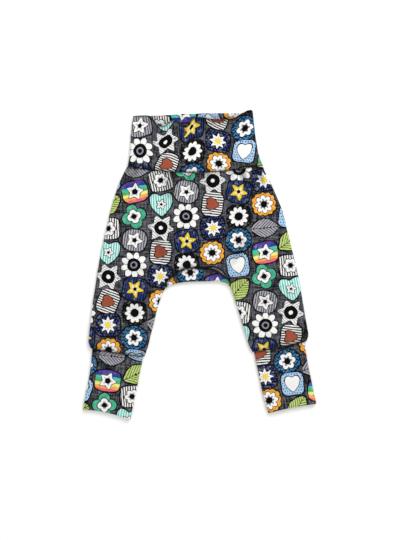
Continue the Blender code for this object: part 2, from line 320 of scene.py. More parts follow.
# %% [markdown]
# ## How thick the garment lies
#
# Two layers of soft jersey with a little air between them lie about 6 mm high. That height is never
# even: the cloth swells and sinks over a hand's width, small gathers run out of each seam where
# the wider piece was eased in, a few long creases cross the panels, and every seam pulls the cloth
# down into a groove. One field of heights over the table holds all of it. The front is laid at that
# height and each side fold is rolled to it, so pieces that meet always agree. Heights listed in a
# table were chosen over a cloth simulation because each crease can then go where it was seen.

# %% How thick the garment lies
LAID = 5.8  # usual height of the front above the table
THINNEST = 3.0
SWELLS = ((1.3, 74.0, 1.5), (0.8, 31.0, 4.5), (0.3, 12.0, 7.5))  # height, width, layer of noise
CREASES = (  # start x, start y, end x, end y, half width, height
    (66.0, 160.0, 73.0, 124.0, 4.6, -4.6),
    (75.5, 158.0, 86.0, 116.0, 5.5, 3.4),
    (56.0, 152.0, 62.0, 120.0, 5.0, 2.8),
    (90.0, 158.0, 101.0, 128.0, 4.0, -2.8),
    (-42.0, 145.0, -54.0, 104.0, 6.0, -2.2),
    (-30.0, 144.0, -34.0, 112.0, 6.0, 1.6),
    (-88.0, 148.0, -104.0, 118.0, 6.0, 2.0),
    (-62.0, -16.0, -112.0, 12.0, 9.0, 2.2),
    (54.0, -14.0, 104.0, 24.0, 9.0, 2.4),
    (50.0, -4.0, 74.0, 40.0, 7.0, -1.8),
    (-52.0, -2.0, -70.0, 36.0, 8.0, -1.6),
    (-14.0, 6.0, -20.0, 44.0, 12.0, -0.9),
    (-156.0, -106.0, -106.0, -114.0, 8.0, 1.0),
    (96.0, -112.0, 148.0, -98.0, 8.0, 1.0),
    (-132.0, 96.0, -120.0, 40.0, 9.0, 0.9),
    (118.0, 88.0, 112.0, 34.0, 10.0, 1.0),
    (-150.0, -60.0, -84.0, -72.0, 12.0, -0.8),
    (76.0, -62.0, 150.0, -52.0, 12.0, -0.8),
)
CREASE_TIP = 0.12  # share of a half wave that is cut off at each end of a crease
# Seams: the line, then for the cloth below it and above it: gather height, reach and spacing.
SEAMS = (
    (waist_seam, (3.2, 24.0, 9.0), (1.1, 12.0, 12.0)),
    (leg_seams[0], (0.8, 10.0, 9.0), (2.2, 18.0, 8.5)),
    (leg_seams[1], (0.8, 10.0, 9.0), (2.2, 18.0, 8.5)),
    (gusset_seam, (0.9, 11.0, 9.0), (1.6, 19.0, 10.0)),
)
GROOVES = ((1.7, 1.8), (1.1, 0.5))  # depth and width: a soft dip, and the crack in its middle
print(len(CREASES), "long creases and", len(SEAMS), "seams shape the front")

# %% [markdown]
# ## Creases, gathers and grooves
#
# Ironed cloth has none of these, but worn cloth does, and each has its own profile. A crease is a
# ridge or a trough that is highest in its middle. A gather is a small wave along a seam, uneven like
# noise, that fades into the panel. A groove is deepest on the seam itself. All three are functions of
# a place on the table, so they simply add up.

# %% Creases, gathers and grooves
GATHER_GAIN = 1.6  # the noise seldom comes near 1, so the gathers are raised by this
GATHER_START = 2.0  # how far from its seam a gather begins to rise
FINER_HEIGHT, FINER_PITCH = 0.5, 2.3  # of the smaller waves on each gather
SIDE_LAYER, FINER_LAYER, WANDER_LEVEL = 0.37, 9.63, 0.5  # where their noise is read


def drift(places, size, layer):
    """Smooth noise between -1 and 1, with swells about this many millimetres wide."""
    return np.array([noise.noise((x / size, y / size, layer)) for x, y in places])


def wander(distances, layer):
    """Smooth noise between -1 and 1 along a line."""
    return np.array([noise.noise((distance, layer, WANDER_LEVEL)) for distance in distances])


def crease_heights(places):
    """How far the long creases raise or sink the cloth."""
    heights = np.zeros(len(places))
    for x0, y0, x1, y1, half_width, rise in CREASES:
        start, run = np.array((x0, y0)), np.array((x1 - x0, y1 - y0))
        share = np.clip((places - start) @ run / (run @ run), 0.0, 1.0)
        off = np.hypot(*(places - start - share[:, None] * run).T)
        arch = np.sin(math.pi * (CREASE_TIP + (1 - 2 * CREASE_TIP) * share))
        heights += rise * arch * np.exp(-((off / half_width) ** 2))
    return heights


def measure_seams(places):
    """The places measured from every seam: see Line.measure."""
    return [seam.measure(places) for seam, below, above in SEAMS]


def grooves(measured):
    """How deep the seams lie."""
    return sum(
        sum(depth * np.exp(-off / width) for depth, width in GROOVES)
        for nearest, off, reach, side in measured
    )


def gathers(measured):
    """The height of the little gathers that fade away from each seam."""
    heights = 0.0
    for number, (nearest, off, reach, side) in enumerate(measured):
        below, above = SEAMS[number][1:]
        for sign, (height, fade, spacing) in ((-1, below), (1, above)):
            ripple = wander(reach / spacing, number + SIDE_LAYER * sign)
            ripple += FINER_HEIGHT * wander(reach / spacing * FINER_PITCH, number + FINER_LAYER)
            near = np.exp(-off / fade) * (1 - np.exp(-off / GATHER_START))
            heights = heights + np.where(side == sign, height * GATHER_GAIN * ripple * near, 0.0)
    return heights


# %% [markdown]
# ## The field of heights
#
# The front's height is the usual one, plus all that was just described, and never less than the two
# layers pressed together. The back lies on the table. Only its seams and a few soft creases of its
# own lift it, by less than a millimetre, as when a garment is dropped on a table and not pressed.

# %% The field of heights
BACK_CREASE, BACK_CREASE_WIDTH, BACK_CREASE_LAYER = 1.6, 24.0, 11.5
BACK_CREASE_FROM = 0.12  # the noise below this leaves the back flat
BACK_CREASE_SQUEEZE = (1.0, 0.6)  # makes its creases longer down the legs than across
BACK_GROOVE_SHARE = 0.3
BACK_HIGHEST = 0.8


def laid_height(places):
    """The height of the front over each place on the table."""
    swell = sum(height * drift(places, width, layer) for height, width, layer in SWELLS)
    measured = measure_seams(places)
    raised = LAID + swell + crease_heights(places) + gathers(measured) - grooves(measured)
    return np.maximum(raised, THINNEST)


def back_rise(places):
    """How far seams and soft creases lift the back off the table."""
    waves = drift(places * BACK_CREASE_SQUEEZE, BACK_CREASE_WIDTH, BACK_CREASE_LAYER)
    creases = BACK_CREASE * np.maximum(waves - BACK_CREASE_FROM, 0.0)
    return np.minimum(creases + BACK_GROOVE_SHARE * grooves(measure_seams(places)), BACK_HIGHEST)


belly = np.array([(0.0, 80.0)])
print("the front lies", round(laid_height(belly)[0], 1), "mm high on the belly")

# %% [markdown]
# ## Rows of points
#
# A sheet is planned as rows of places across the garment. Cloth bends sharply at two kinds of place,
# over the side folds and into the seams, so the points crowd together there and stay two
# millimetres apart elsewhere. A Subdivision modifier would put as many points on the flat parts,
# where nothing happens.

# %% Rows of points
ROLL_ANGLES = (0.0, 20.0, 38.0, 56.0, 73.0, 90.0)
NOMINAL_ROLL = LAID / 2
ROLL_INSETS = NOMINAL_ROLL * (1 - np.cos(np.radians(ROLL_ANGLES)))
NEAR_SEAM = np.array((0.0, 0.5, 1.1, 1.9, 3.0, 4.4))  # how far from a seam the closest points lie
SPACING = 2.0  # between the points of a sheet


def spaced(length, seam_first=False, seam_last=False):
    """Shares of a length, evenly spaced, and closer together next to a seam."""
    first = NEAR_SEAM if seam_first else NEAR_SEAM[:1]
    last = NEAR_SEAM if seam_last else NEAR_SEAM[:1]
    count = max(round((length - first[-1] - last[-1]) / SPACING), 1)
    middle = np.linspace(first[-1], length - last[-1], count + 1)[1:-1]
    return np.concatenate([first, middle, length - last[::-1]]) / length


def row_across(line, columns):
    """The points of a row between two side folds: close together on the rolled sides."""
    length = np.hypot(*(line(1.0) - line(0.0)))
    flat = np.linspace(ROLL_INSETS[-1], length - ROLL_INSETS[-1], columns + 1)[1:-1]
    return line(np.concatenate([ROLL_INSETS, flat, length - ROLL_INSETS[::-1]]) / length)


def row_shares(row):
    """How far along a row each of its points lies, as a share."""
    reach = np.concatenate([[0.0], np.cumsum(np.hypot(*np.diff(row, axis=0).T))])
    return reach / reach[-1]


def loft(first, last, left, right, shares):
    """Rows that change from a first row to a last one, while their ends follow two lines."""
    u0, u1 = row_shares(first), row_shares(last)
    rows = []
    for v in shares:
        u = (u0 + (u1 - u0) * v)[:, None]
        left_off = left(v) - first[0] - (last[0] - first[0]) * v
        right_off = right(v) - first[-1] - (last[-1] - first[-1]) * v
        rows.append(first + (last - first) * v + left_off * (1 - u) + right_off * u)
    return np.array(rows)


print("100 mm below a seam take", len(spaced(100.0, seam_first=True)), "rows")

# %% [markdown]
# ## Rolling the sides over
#
# A laid garment has no sharp edge: the cloth turns from the front to the back in a soft roll, half as
# wide as the garment is high there. So a place near a fold is turned about the fold's own axis, and
# the rest simply rises to the field of heights. Rolling uses up cloth that can't be seen from above.
# The flat place of each point counts it in, so the print isn't squeezed where the cloth turns away.

# %% Rolling the sides over
SEAM_TURN = math.radians(3.0)  # keeps the two sides of a side seam a hair apart
BACK_RIM = 8.0  # next to a fold the back lies flat, and its creases rise over this width
SMALLEST = 1e-6  # keeps a division by zero out


def roll_over(rows, folds, side, on_fold_turn=0.0, lift=None):
    """Lays rows of places on the table, rolled round their folds. side: 1 front, -1 back.

    Returns the points in space and their places in the flat cloth.
    """
    places = rows.reshape(-1, 2)
    off, toward = np.full(len(places), np.inf), np.zeros_like(places)
    for fold in folds:
        nearest, distance = fold.measure(places)[:2]
        toward = np.where((distance < off)[:, None], places - nearest, toward)
        off = np.minimum(off, distance)
    tops = laid_height(places) + (lift(places) if lift else 0.0)
    radius = tops / 2
    turn = np.arccos(np.clip(1 - off / radius, 0.0, 1.0))
    turn = np.maximum(turn, on_fold_turn)
    heights = radius * (1 + side * np.sin(turn))
    if side < 0:
        heights += back_rise(places) * np.clip(off / BACK_RIM, 0.0, 1.0)
    hidden = np.where(off < radius, radius * (math.pi / 2 - turn) - (radius - off), 0.0)
    outward = -toward / np.maximum(off, SMALLEST)[:, None]
    flat = places + outward * hidden[:, None]
    return np.column_stack([places, heights]).reshape(*rows.shape[:2], 3), flat.reshape(rows.shape)


# %% [markdown]
# ## Laying a sheet
#
# A real piece of cloth starts flat, so each piece here starts as Blender's flat grid. Its points are
# then carried to where they lie on the garment. The grid's own rows and columns become the rows and
# columns of the cloth. Each point also keeps its place in the flat cloth, in a UV map, so that the
# print later follows the folds and doesn't slide over them. Extruding or sculpting could give the
# same outside shape, but would lose that record of the flat cloth.

# %% Laying a sheet
CLOTH_MAP = "flat cloth"
MERGE_DISTANCE = 0.00002  # points closer than this are one point of the cloth


def write_flat_places(mesh, flat_of_corner):
    """Stores where each face corner lies in the flat cloth."""
    mesh.uv_layers[0].name = CLOTH_MAP
    mesh.uv_layers[0].data.foreach_set("uv", (flat_of_corner * MM).ravel())


def corner_points(mesh):
    """The number of the point at each face corner."""
    corners = np.empty(len(mesh.loops), int)
    mesh.loops.foreach_get("vertex_index", corners)
    return corners


def lay_grid(points, flat):
    """Adds a grid and carries its points to these places, row by row from the bottom."""
    rows, columns = points.shape[:2]
    bpy.ops.mesh.primitive_grid_add(x_subdivisions=columns - 1, y_subdivisions=rows - 1, size=1.0)
    sheet = bpy.context.object
    sheet.data.vertices.foreach_set("co", (points.reshape(-1, 3) * MM).ravel())
    write_flat_places(sheet.data, flat.reshape(-1, 2)[corner_points(sheet.data)])
    return sheet


def sew(sheets, name, wall):
    """Joins sheets along their shared edges and gives them a wall, inwards."""
    bpy.ops.object.select_all(action="DESELECT")
    for sheet in sheets:
        sheet.select_set(True)
    bpy.context.view_layer.objects.active = sheets[0]
    if len(sheets) > 1:
        bpy.ops.object.join()
    cloth = bpy.context.object
    bpy.ops.object.mode_set(mode="EDIT")
    bpy.ops.mesh.select_all(action="SELECT")
    bpy.ops.mesh.remove_doubles(threshold=MERGE_DISTANCE)
    bpy.ops.object.mode_set(mode="OBJECT")
    solid = cloth.modifiers.new("cloth wall", "SOLIDIFY")
    solid.thickness = wall * MM
    solid.offset = -1.0
    solid.use_even_offset = True
    bpy.ops.object.modifier_apply(modifier=solid.name)
    return finish_piece(cloth, name)


def finish_piece(cloth, name):
    """Names a finished piece, smooths it and leaves it at the origin."""
    bpy.ops.object.shade_smooth()
    cloth.name = cloth.data.name = name
    bpy.ops.object.select_all(action="DESELECT")
    box = np.array([corner[:] for corner in cloth.bound_box]) / MM
    print(name, len(cloth.data.vertices), "points, size", np.ptp(box, axis=0).round(1), "mm")
    return cloth


# %% [markdown]
# ## Front and back
#
# The front and the back are each cut in one piece: the torso with both legs, and an arch between
# the legs where the gusset is sewn in. Trousers could also be modelled as a tube that splits in
# two, but a laid garment is easier to control as flat pieces that meet at rolled sides. The torso is
# one grid, and each leg is two: a short one beside the gusset, and one from the crotch corner down.
# Their shared rows are merged, so the piece is one sheet. Its faces look outwards, up on the front
# and down on the back, and the wall then grows inwards.

# %% The rows of the body
LEG_COLUMNS = 52
ARCH_COLUMNS = 50
TORSO_LENGTH, LEG_LENGTH = 188.0, 106.0
FIRST_BESIDE_GUSSET = (0.0, 0.25)  # the first rows of the short grid beside the gusset, as shares
YOKE_LEVEL = len(TORSO_SECTIONS) - 1  # the row at the ends of the gusset's seam

left_side = side_folds(TORSO_SECTIONS + LEFT_LEG_SECTIONS[1:])[0]
right_side = side_folds(TORSO_SECTIONS + RIGHT_LEG_SECTIONS[1:])[1]
left_inseam = side_folds(LEFT_LEG_SECTIONS[1:])[1]
right_inseam = side_folds(RIGHT_LEG_SECTIONS[1:])[0]
body_folds = (left_side, right_side, left_inseam, right_inseam, crotch_fold)


def straight(start, end):
    """The straight line between two points, as a function of shares."""
    return lambda share: start + (end - start) * share


def arch_shares():
    """Shares along the crotch, from one end of the gusset to the other."""
    return np.linspace(0.0, 1.0, ARCH_COLUMNS + 1)


def body_rows():
    """The rows of the torso and of both legs, top down."""
    left_yoke = row_across(across(LEFT_LEG_SECTIONS[0]), LEG_COLUMNS)
    right_yoke = row_across(across(RIGHT_LEG_SECTIONS[0]), LEG_COLUMNS)
    arch = gusset_seam.stretch()(arch_shares()[1:-1])
    yoke = np.concatenate([left_yoke, arch, right_yoke])
    waist_columns = len(yoke) - 2 * len(ROLL_INSETS) + 1
    waist = row_across(across(WAIST_SECTION, WAIST_BOW), waist_columns)
    sides = left_side.stretch(0, YOKE_LEVEL), right_side.stretch(0, YOKE_LEVEL)
    shares = spaced(TORSO_LENGTH, seam_first=True, seam_last=True)
    grids = [loft(waist, yoke, *sides, shares)]

    legs = (
        (LEFT_LEG_SECTIONS, left_yoke, left_side, left_inseam, -1),
        (RIGHT_LEG_SECTIONS, right_yoke, right_side, right_inseam, 0),
    )
    for sections, top, outer, inseam, inner_end in legs:
        corner = row_across(across(sections[1]), LEG_COLUMNS)
        end = row_across(across(sections[-1], LEG_END_BOW), LEG_COLUMNS)
        to_corner = straight(top[inner_end], corner[inner_end])
        beside_gusset = [outer.stretch(YOKE_LEVEL, YOKE_LEVEL + 1), to_corner]
        below_corner = [outer.stretch(YOKE_LEVEL + 1), inseam.stretch()]
        if inner_end == 0:
            beside_gusset.reverse()
            below_corner.reverse()
        width = np.hypot(*(corner[inner_end] - top[inner_end]))
        shares = np.concatenate([FIRST_BESIDE_GUSSET, 1 - ROLL_INSETS[::-1] / width])
        grids.append(loft(top, corner, *beside_gusset, shares))
        grids.append(loft(corner, end, *below_corner, spaced(LEG_LENGTH, seam_last=True)))
    return grids


print("the body is", len(body_rows()), "grids of rows")

# %% [markdown]
# ## Sewing the front and the back
#
# Both panels use the same rows, so their side seams meet point for point. The front takes them up to
# the field of heights, and the back takes them down to the table.

# %% Sewing the front and the back
JERSEY_WALL = 0.9


def add_panel(name, side):
    """The front (side 1) or the back (side -1)."""
    sheets = []
    for rows in body_rows():
        points, flat = roll_over(rows, body_folds, side, SEAM_TURN)
        order = slice(None, None, -side)
        sheets.append(lay_grid(points[order], flat[order]))
    return sew(sheets, name, JERSEY_WALL)


front = add_panel("front_panel", 1)
back = add_panel("back_panel", -1)

# %% [markdown]
# ## Gusset
#
# The gusset is a crescent of the same jersey that gives room for a nappy. It starts at a curved
# seam on the front, runs down and round the crotch fold, and ends at the same seam on the back.
# One grid can follow that whole way, because its rows may turn under the fold and come back.

# %% Gusset
GUSSET_SPANS = 7  # between its roll and the points beside its seam
GUSSET_NARROW = 8.0  # where it is narrower than this, the points beside its seam close up


def gusset_rows():
    """Rows of places from the seam down to the crotch fold. Front and back share them."""
    corners = crotch_fold.stretch()(arch_shares())
    up = gusset_seam.stretch()(arch_shares()) - corners
    widths = np.hypot(*up.T)
    columns = []
    for corner, direction, width in zip(corners, up / widths[:, None], widths):
        closest = NEAR_SEAM * min((width - ROLL_INSETS[-1]) / GUSSET_NARROW, 1.0)
        middle = np.linspace(ROLL_INSETS[-1], width - closest[-1], GUSSET_SPANS + 1)[1:-1]
        distances = np.concatenate([ROLL_INSETS, middle, width - closest[::-1]])
        columns.append(corner + direction * distances[::-1, None])
    return np.swapaxes(columns, 0, 1)


def add_gusset():
    """The gusset, from its seam on the front round the crotch fold to its seam on the back."""
    rows = gusset_rows()
    over, over_flat = roll_over(rows, (crotch_fold,), 1)
    under, under_flat = roll_over(rows, (crotch_fold,), -1)
    fold_flat = over_flat[-1:]
    under_flat = 2 * fold_flat[:, :, 1:] * (0.0, 1.0) + under_flat * (1.0, -1.0)
    points = np.concatenate([under[:-1], over[::-1]])
    flat = np.concatenate([under_flat[:-1], over_flat[::-1]])
    return sew([lay_grid(points, flat)], "gusset_crescent", JERSEY_WALL)


gusset = add_gusset()

# %% [markdown]
# ## Waistband and cuffs
#
# The waistband and the cuffs are tubes of doubled jersey: cut twice as deep as they look, folded in
# half, and sewn on by their two raw edges. So each has an outside and an inside of printed cloth,
# and a soft round fold at its free edge. A torus is that shape already. Its long way round becomes
# the way round the tube, and its short way round becomes the outside, the fold and the inside. A
# grid with a Solidify modifier would give a hard square edge where the fold should be.

# %% Doubled tubes
DOUBLED_WALL = 1.4
FOLD_TURNS = np.radians((35.0, 90.0, 145.0))


def ring_normals(rings):
    """Unit normals of a surface of closed rings, towards the inside of the tube."""
    along = np.gradient(rings, axis=0)
    around = np.roll(rings, -1, axis=1) - np.roll(rings, 1, axis=1)
    normals = np.cross(along, around)
    normals /= np.linalg.norm(normals, axis=2, keepdims=True)
    middle_of_front = normals[:, rings.shape[1] // 4]
    return normals * -np.sign(middle_of_front[:, 2].mean())


def doubled(front_points, back_points, front_flat, back_flat):
    """Rings of points along the outside, over the fold and back along the inside.

    Returns the points in space and their places in the flat cloth.
    """
    rings = np.concatenate([front_points, back_points[:, -2:0:-1]], axis=1)
    right_fold = front_flat[:, -1:, :1] * (1.0, 0.0)
    flat = np.concatenate([front_flat, 2 * right_fold + back_flat[:, -2::-1] * (-1.0, 1.0)], axis=1)

    inward = ring_normals(rings)
    inside = rings + inward * DOUBLED_WALL
    beyond = rings[-1] - rings[-2]
    beyond /= np.linalg.norm(beyond, axis=1, keepdims=True)
    radius = DOUBLED_WALL / 2
    arc = [
        rings[-1] + radius * ((1 - math.cos(turn)) * inward[-1] + math.sin(turn) * beyond)
        for turn in FOLD_TURNS
    ]
    edge = flat[-1] * (0.0, 1.0)
    step = np.sign(flat[-1, 0, 1] - flat[-2, 0, 1]) * radius
    arc_flat = [flat[-1] + (0.0, step * turn) for turn in FOLD_TURNS]
    inside_flat = flat * (1.0, -1.0) + 2 * edge + (0.0, step * math.pi)
    profile = np.concatenate([rings, arc, inside[::-1]])
    return profile, np.concatenate([flat, arc_flat, inside_flat[::-1]])


def add_tube(name, *layers):
    """A doubled tube from its two layers. Their rows run from the seam to the folded edge."""
    profile, profile_flat = doubled(*layers)
    levels, columns = profile.shape[:2]
    bpy.ops.mesh.primitive_torus_add(major_segments=columns, minor_segments=levels)
    tube = bpy.context.object
    tube.data.vertices.foreach_set("co", (np.swapaxes(profile, 0, 1).reshape(-1, 3) * MM).ravel())
    column, level = np.divmod(corner_points(tube.data).reshape(-1, 4), levels)
    closing = np.ptp(column, axis=1, keepdims=True) > 1
    column = np.where(closing & (column == 0), columns, column)
    write_flat_places(tube.data, profile_flat[level, column].reshape(-1, 2))
    bpy.ops.object.mode_set(mode="EDIT")
    bpy.ops.mesh.select_all(action="SELECT")
    bpy.ops.mesh.normals_make_consistent(inside=False)
    bpy.ops.object.mode_set(mode="OBJECT")
    return finish_piece(tube, name)


# %% [markdown]
# ## The waistband's top edge
#
# The tall waistband lies open. Its back is nearly straight, but its front has slumped into three
# soft waves, and each wave stands up a little, so the inside of the back shows between them. The
# table follows that edge. The waves could be pushed up with proportional editing, but then nothing
# would say how deep they are. The print slumps with the front, because its flat map is worked out
# from the edge as it was cut and not from the edge as it lies.

# %% The waistband's top edge
# The folded top edge, by shares of its width: how far the front lies below the line between the
# top corners, how far it stands up, and how far the back lies below that line.
BAND_TOP = (  # share, front below, front up, back below
    (0.0, 0.0, 0.0, 0.0),
    (0.12, 1.1, 3.0, 1.0),
    (0.155, 5.3, 5.0, 0.6),
    (0.181, 11.1, 5.8, 0.6),
    (0.205, 17.5, 4.2, 0.8),
    (0.239, 19.0, 3.4, 1.0),
    (0.277, 17.5, 5.0, 0.6),
    (0.306, 13.1, 6.8, 0.3),
    (0.357, 12.8, 8.6, 0.2),
    (0.402, 15.8, 6.0, -0.1),
    (0.435, 21.9, 2.6, -0.2),
    (0.465, 17.5, 4.0, 0.0),
    (0.494, 10.9, 6.2, 0.2),
    (0.532, 8.4, 7.8, 0.4),
    (0.59, 9.3, 8.8, -0.3),
    (0.665, 11.8, 7.2, 0.6),
    (0.749, 13.1, 5.0, 1.3),
    (0.816, 12.5, 4.8, 1.8),
    (0.861, 10.1, 6.4, 2.3),
    (0.899, 5.9, 7.4, 3.0),
    (0.941, 1.8, 5.6, 2.7),
    (0.972, -0.8, 2.6, 2.0),
    (0.988, -0.7, 1.1, 1.2),
    (1.0, 0.0, 0.0, 0.0),
)
FRONT_BELOW, FRONT_UP, BACK_BELOW = 1, 2, 3  # the columns of that table
BAND_WIDTH = 190.0
FRONT_DROP = 11.0  # how much lower the front is cut than the back
BAND_LIFT_REACH = 21.0


def top_value(column):
    """A column of the table as a smooth curve over the width."""
    curve = Line([(BAND_WIDTH * row[0], row[column]) for row in BAND_TOP]).points
    return lambda share: np.interp(np.asarray(share, float) * BAND_WIDTH, curve[:, 0], curve[:, 1])


def below_corners(share, below):
    """Places this far below the line between the top corners."""
    return across(BAND_SECTIONS[0])(share) - np.stack([0 * below, below], -1)


def top_edge(column):
    """The waistband's top edge, from a column of the table."""
    return lambda share: below_corners(share, top_value(column)(share))


def cut_edge(share):
    """Where the front's top edge would lie if it hadn't slumped."""
    return below_corners(share, FRONT_DROP * np.sin(math.pi * np.asarray(share, float)))


def band_lift(places):
    """How far the front of the waistband stands up. The waves fade towards the waist seam."""
    x0, y0, x1, y1 = BAND_SECTIONS[0]
    share = (places[:, 0] - x0) / (x1 - x0)
    depth = y0 + (y1 - y0) * share - places[:, 1] - top_value(FRONT_BELOW)(share)
    fade = np.clip(1 - depth / BAND_LIFT_REACH, 0.0, 1.0) ** 2
    return top_value(FRONT_UP)(share) * fade


highest = top_value(FRONT_UP)(np.linspace(0.0, 1.0)).max()
print("the waves stand up to", round(highest, 1), "mm over the front")

# %% [markdown]
# ## Waistband
#
# Its front and its back have different top edges, so each is lofted by itself down to the same waist
# seam. The front is lofted twice: once as it lies, which gives the points, and once as it was cut,
# which gives their places in the flat cloth.

# %% Waistband
BAND_COLUMNS = 104
BAND_DEPTH = 86.0


def add_waistband():
    """The waistband, sewn on at its lower end."""
    folds = side_folds(BAND_SECTIONS)
    sides = [fold.stretch() for fold in folds]
    waist = row_across(across(WAIST_SECTION, WAIST_BOW), BAND_COLUMNS)
    shares = spaced(BAND_DEPTH, seam_first=True, seam_last=True)

    def layer(edge):
        return loft(row_across(edge, BAND_COLUMNS), waist, *sides, shares)[::-1]

    front_points = roll_over(layer(top_edge(FRONT_BELOW)), folds, 1, lift=band_lift)[0]
    front_flat = roll_over(layer(cut_edge), folds, 1)[1]
    back_points, back_flat = roll_over(layer(top_edge(BACK_BELOW)), folds, -1)
    return add_tube("fold_over_waistband", front_points, back_points, front_flat, back_flat)


waistband = add_waistband()

# %% [markdown]
# ## Cuffs
#
# The cuffs are the same doubled tube, turned over: their seam is at the top, where the leg is
# gathered onto them, and their fold is the hem. The hem isn't straight. A hem that is stretched by
# washing rises in its middle, the left one more than the right, so each hem has its own bow.

# %% Cuffs
CUFF_COLUMNS = 38
CUFF_LENGTH = 99.0


def add_cuff(name, sections, hem_bow):
    """A cuff, sewn on at its upper end."""
    folds = side_folds(sections)
    sides = [fold.stretch() for fold in folds]
    top = row_across(across(sections[0], LEG_END_BOW), CUFF_COLUMNS)
    hem = row_across(across(sections[-1], hem_bow), CUFF_COLUMNS)
    rows = loft(top, hem, *sides, spaced(CUFF_LENGTH, seam_first=True))
    front_points, front_flat = roll_over(rows, folds, 1)
    back_points, back_flat = roll_over(rows, folds, -1)
    return add_tube(name, front_points, back_points, front_flat, back_flat)


left_cuff = add_cuff("left_ankle_cuff", LEFT_CUFF_SECTIONS, LEFT_HEM_BOW)
right_cuff = add_cuff("right_ankle_cuff", RIGHT_CUFF_SECTIONS, RIGHT_HEM_BOW)

# %% [markdown]
# ## Shade in the seams
#
# Hardly any light gets into a seam, and its thread is dark. The crack is finer than the points of
# the sheets, so no lamp can shade it well. Each point therefore keeps a number, 1 in the seam and
# fading to 0 beside it, and the material will darken the cloth by it. Hollows between the gathers
# get a little of it too. So do the front edge of the waistband, where the cloth turns over, and the
# inside of its back, where the front closes over it. Such a number is an attribute of the mesh, and
# it stays with the points wherever they go.

# %% Shade in the seams
# How much painted shade each point gets: the shade in a seam's crack and its dark thread, in the
# hollows, along the waistband's folded front edge and inside its opening.
SEAM_SHADE = "seam shade"
SEAM_SHADES = (  # reach, darkness
    (2.2, 1.0),  # waist
    (2.4, 1.15),  # left leg
    (2.4, 1.15),  # right leg
    (2.6, 1.6),  # gusset
)
HOLLOW_SHADE, HOLLOW_DARKEST = 0.2, 0.5  # for each millimetre of depth, and at most
OPENING_SHADE, OPENING_REACH = 0.6, 6.0
EDGE_SHADE, EDGE_REACH = 1.3, 1.1
EDGE_SAMPLES = 240
FACING_UP = 0.3  # of a normal's z: the inside of the back faces up at least this much


def opening_shade(points, facing):
    """How dark the waistband is at the front's folded edge, and beyond it, inside the back."""
    edge_x, edge_y = top_edge(FRONT_BELOW)(np.linspace(0.0, 1.0, EDGE_SAMPLES)).T
    slope = np.interp(points[:, 0], edge_x, np.gradient(edge_y, edge_x))
    beyond = (points[:, 1] - np.interp(points[:, 0], edge_x, edge_y)) / np.hypot(1.0, slope)
    low = points[:, 2] < LAID / 2
    inside_back = low & (facing[:, 2] > FACING_UP)
    inside = OPENING_SHADE * np.exp(-np.maximum(beyond, 0.0) / OPENING_REACH)
    on_edge = EDGE_SHADE * np.exp(-np.abs(beyond) / EDGE_REACH)
    return np.where(inside_back, inside, np.where(low, 0.0, np.minimum(on_edge, 1.0)))


def read_points(mesh, what):
    """A value of every point of a mesh: "co" is its place, "normal" the way it faces."""
    values = np.empty(3 * len(mesh.vertices))
    mesh.vertices.foreach_get(what, values)
    return values.reshape(-1, 3)


def shade_seams(piece):
    """Writes how deep in the shade each point of a piece lies."""
    points = read_points(piece.data, "co") / MM
    places = points[:, :2]
    measured = measure_seams(places)
    shade = 0.0
    for (nearest, off, along, side), (reach, darkness) in zip(measured, SEAM_SHADES):
        shade = shade + np.minimum(darkness * np.exp(-off / reach), 1.0)
    hollows = np.maximum(-crease_heights(places) - gathers(measured), 0.0) * HOLLOW_SHADE
    shade = shade + np.minimum(hollows, HOLLOW_DARKEST)
    if piece is waistband:
        shade = shade + opening_shade(points, read_points(piece.data, "normal"))
    attribute = piece.data.attributes.new(SEAM_SHADE, "FLOAT", "POINT")
    attribute.data.foreach_set("value", np.minimum(shade, 1.0))
    print(piece.name, "has", int((shade > 0.5).sum()), "shaded points")


for piece in (front, back, gusset, waistband, left_cuff, right_cuff):
    shade_seams(piece)

# %% [markdown]
# ## Reading arithmetic as nodes
#
# A print is drawn by arithmetic: a petal is a distance that is larger in some directions, and a
# stripe is the fraction of a length. Wiring hundreds of Math nodes by hand hides that arithmetic, so
# `Field` lets it be written as plain sums. Each sum still becomes an ordinary Math node that can be
# opened and changed in the shader editor.

# %% Reading arithmetic as nodes
class Field:
    """A number that changes over the cloth. Sums with it add Math nodes to its node tree."""

    def __init__(self, socket):
        self.socket = socket

    def maths(self, operation, *others):
        node = self.socket.id_data.nodes.new("ShaderNodeMath")
        node.operation = operation
        for value, socket in zip((self, *others), node.inputs):
            plug(value, socket)
        return Field(node.outputs[0])

    def __add__(self, other):
        return self.maths("ADD", other)

    def __sub__(self, other):
        return self.maths("SUBTRACT", other)

    def __rsub__(self, other):
        return (self * -1.0) + other

    def __mul__(self, other):
        return self.maths("MULTIPLY", other)

    def __truediv__(self, other):
        return self.maths("DIVIDE", other)

    def __pow__(self, other):
        return self.maths("POWER", other)

    def __mod__(self, other):
        return self.maths("FLOORED_MODULO", other)

    def __lt__(self, other):
        return self.maths("LESS_THAN", other)

    def __abs__(self):
        return self.maths("ABSOLUTE")


def plug(value, socket):
    """Links a field or a socket to a socket, or sets the socket to a plain value."""
    if isinstance(value, Field):
        value = value.socket
    if isinstance(value, bpy.types.NodeSocket):
        socket.id_data.links.new(value, socket)
    else:
        socket.default_value = value


def largest(a, b):
    """The larger of two numbers."""
    return a.maths("MAXIMUM", b)


def smallest(a, b):
    """The smaller of two numbers."""
    return a.maths("MINIMUM", b)


# %% [markdown]
# ## Small tools for nodes
#
# A few kinds of node come up again and again: a vector put together or taken apart, soft noise, a
# colour painted over another, and a colour ramp with hard steps, which serves as a table. Each gets
# a function, so that the print below reads like a recipe.

# %% Small tools for nodes
COTTON_BRIGHTNESS = 0.69


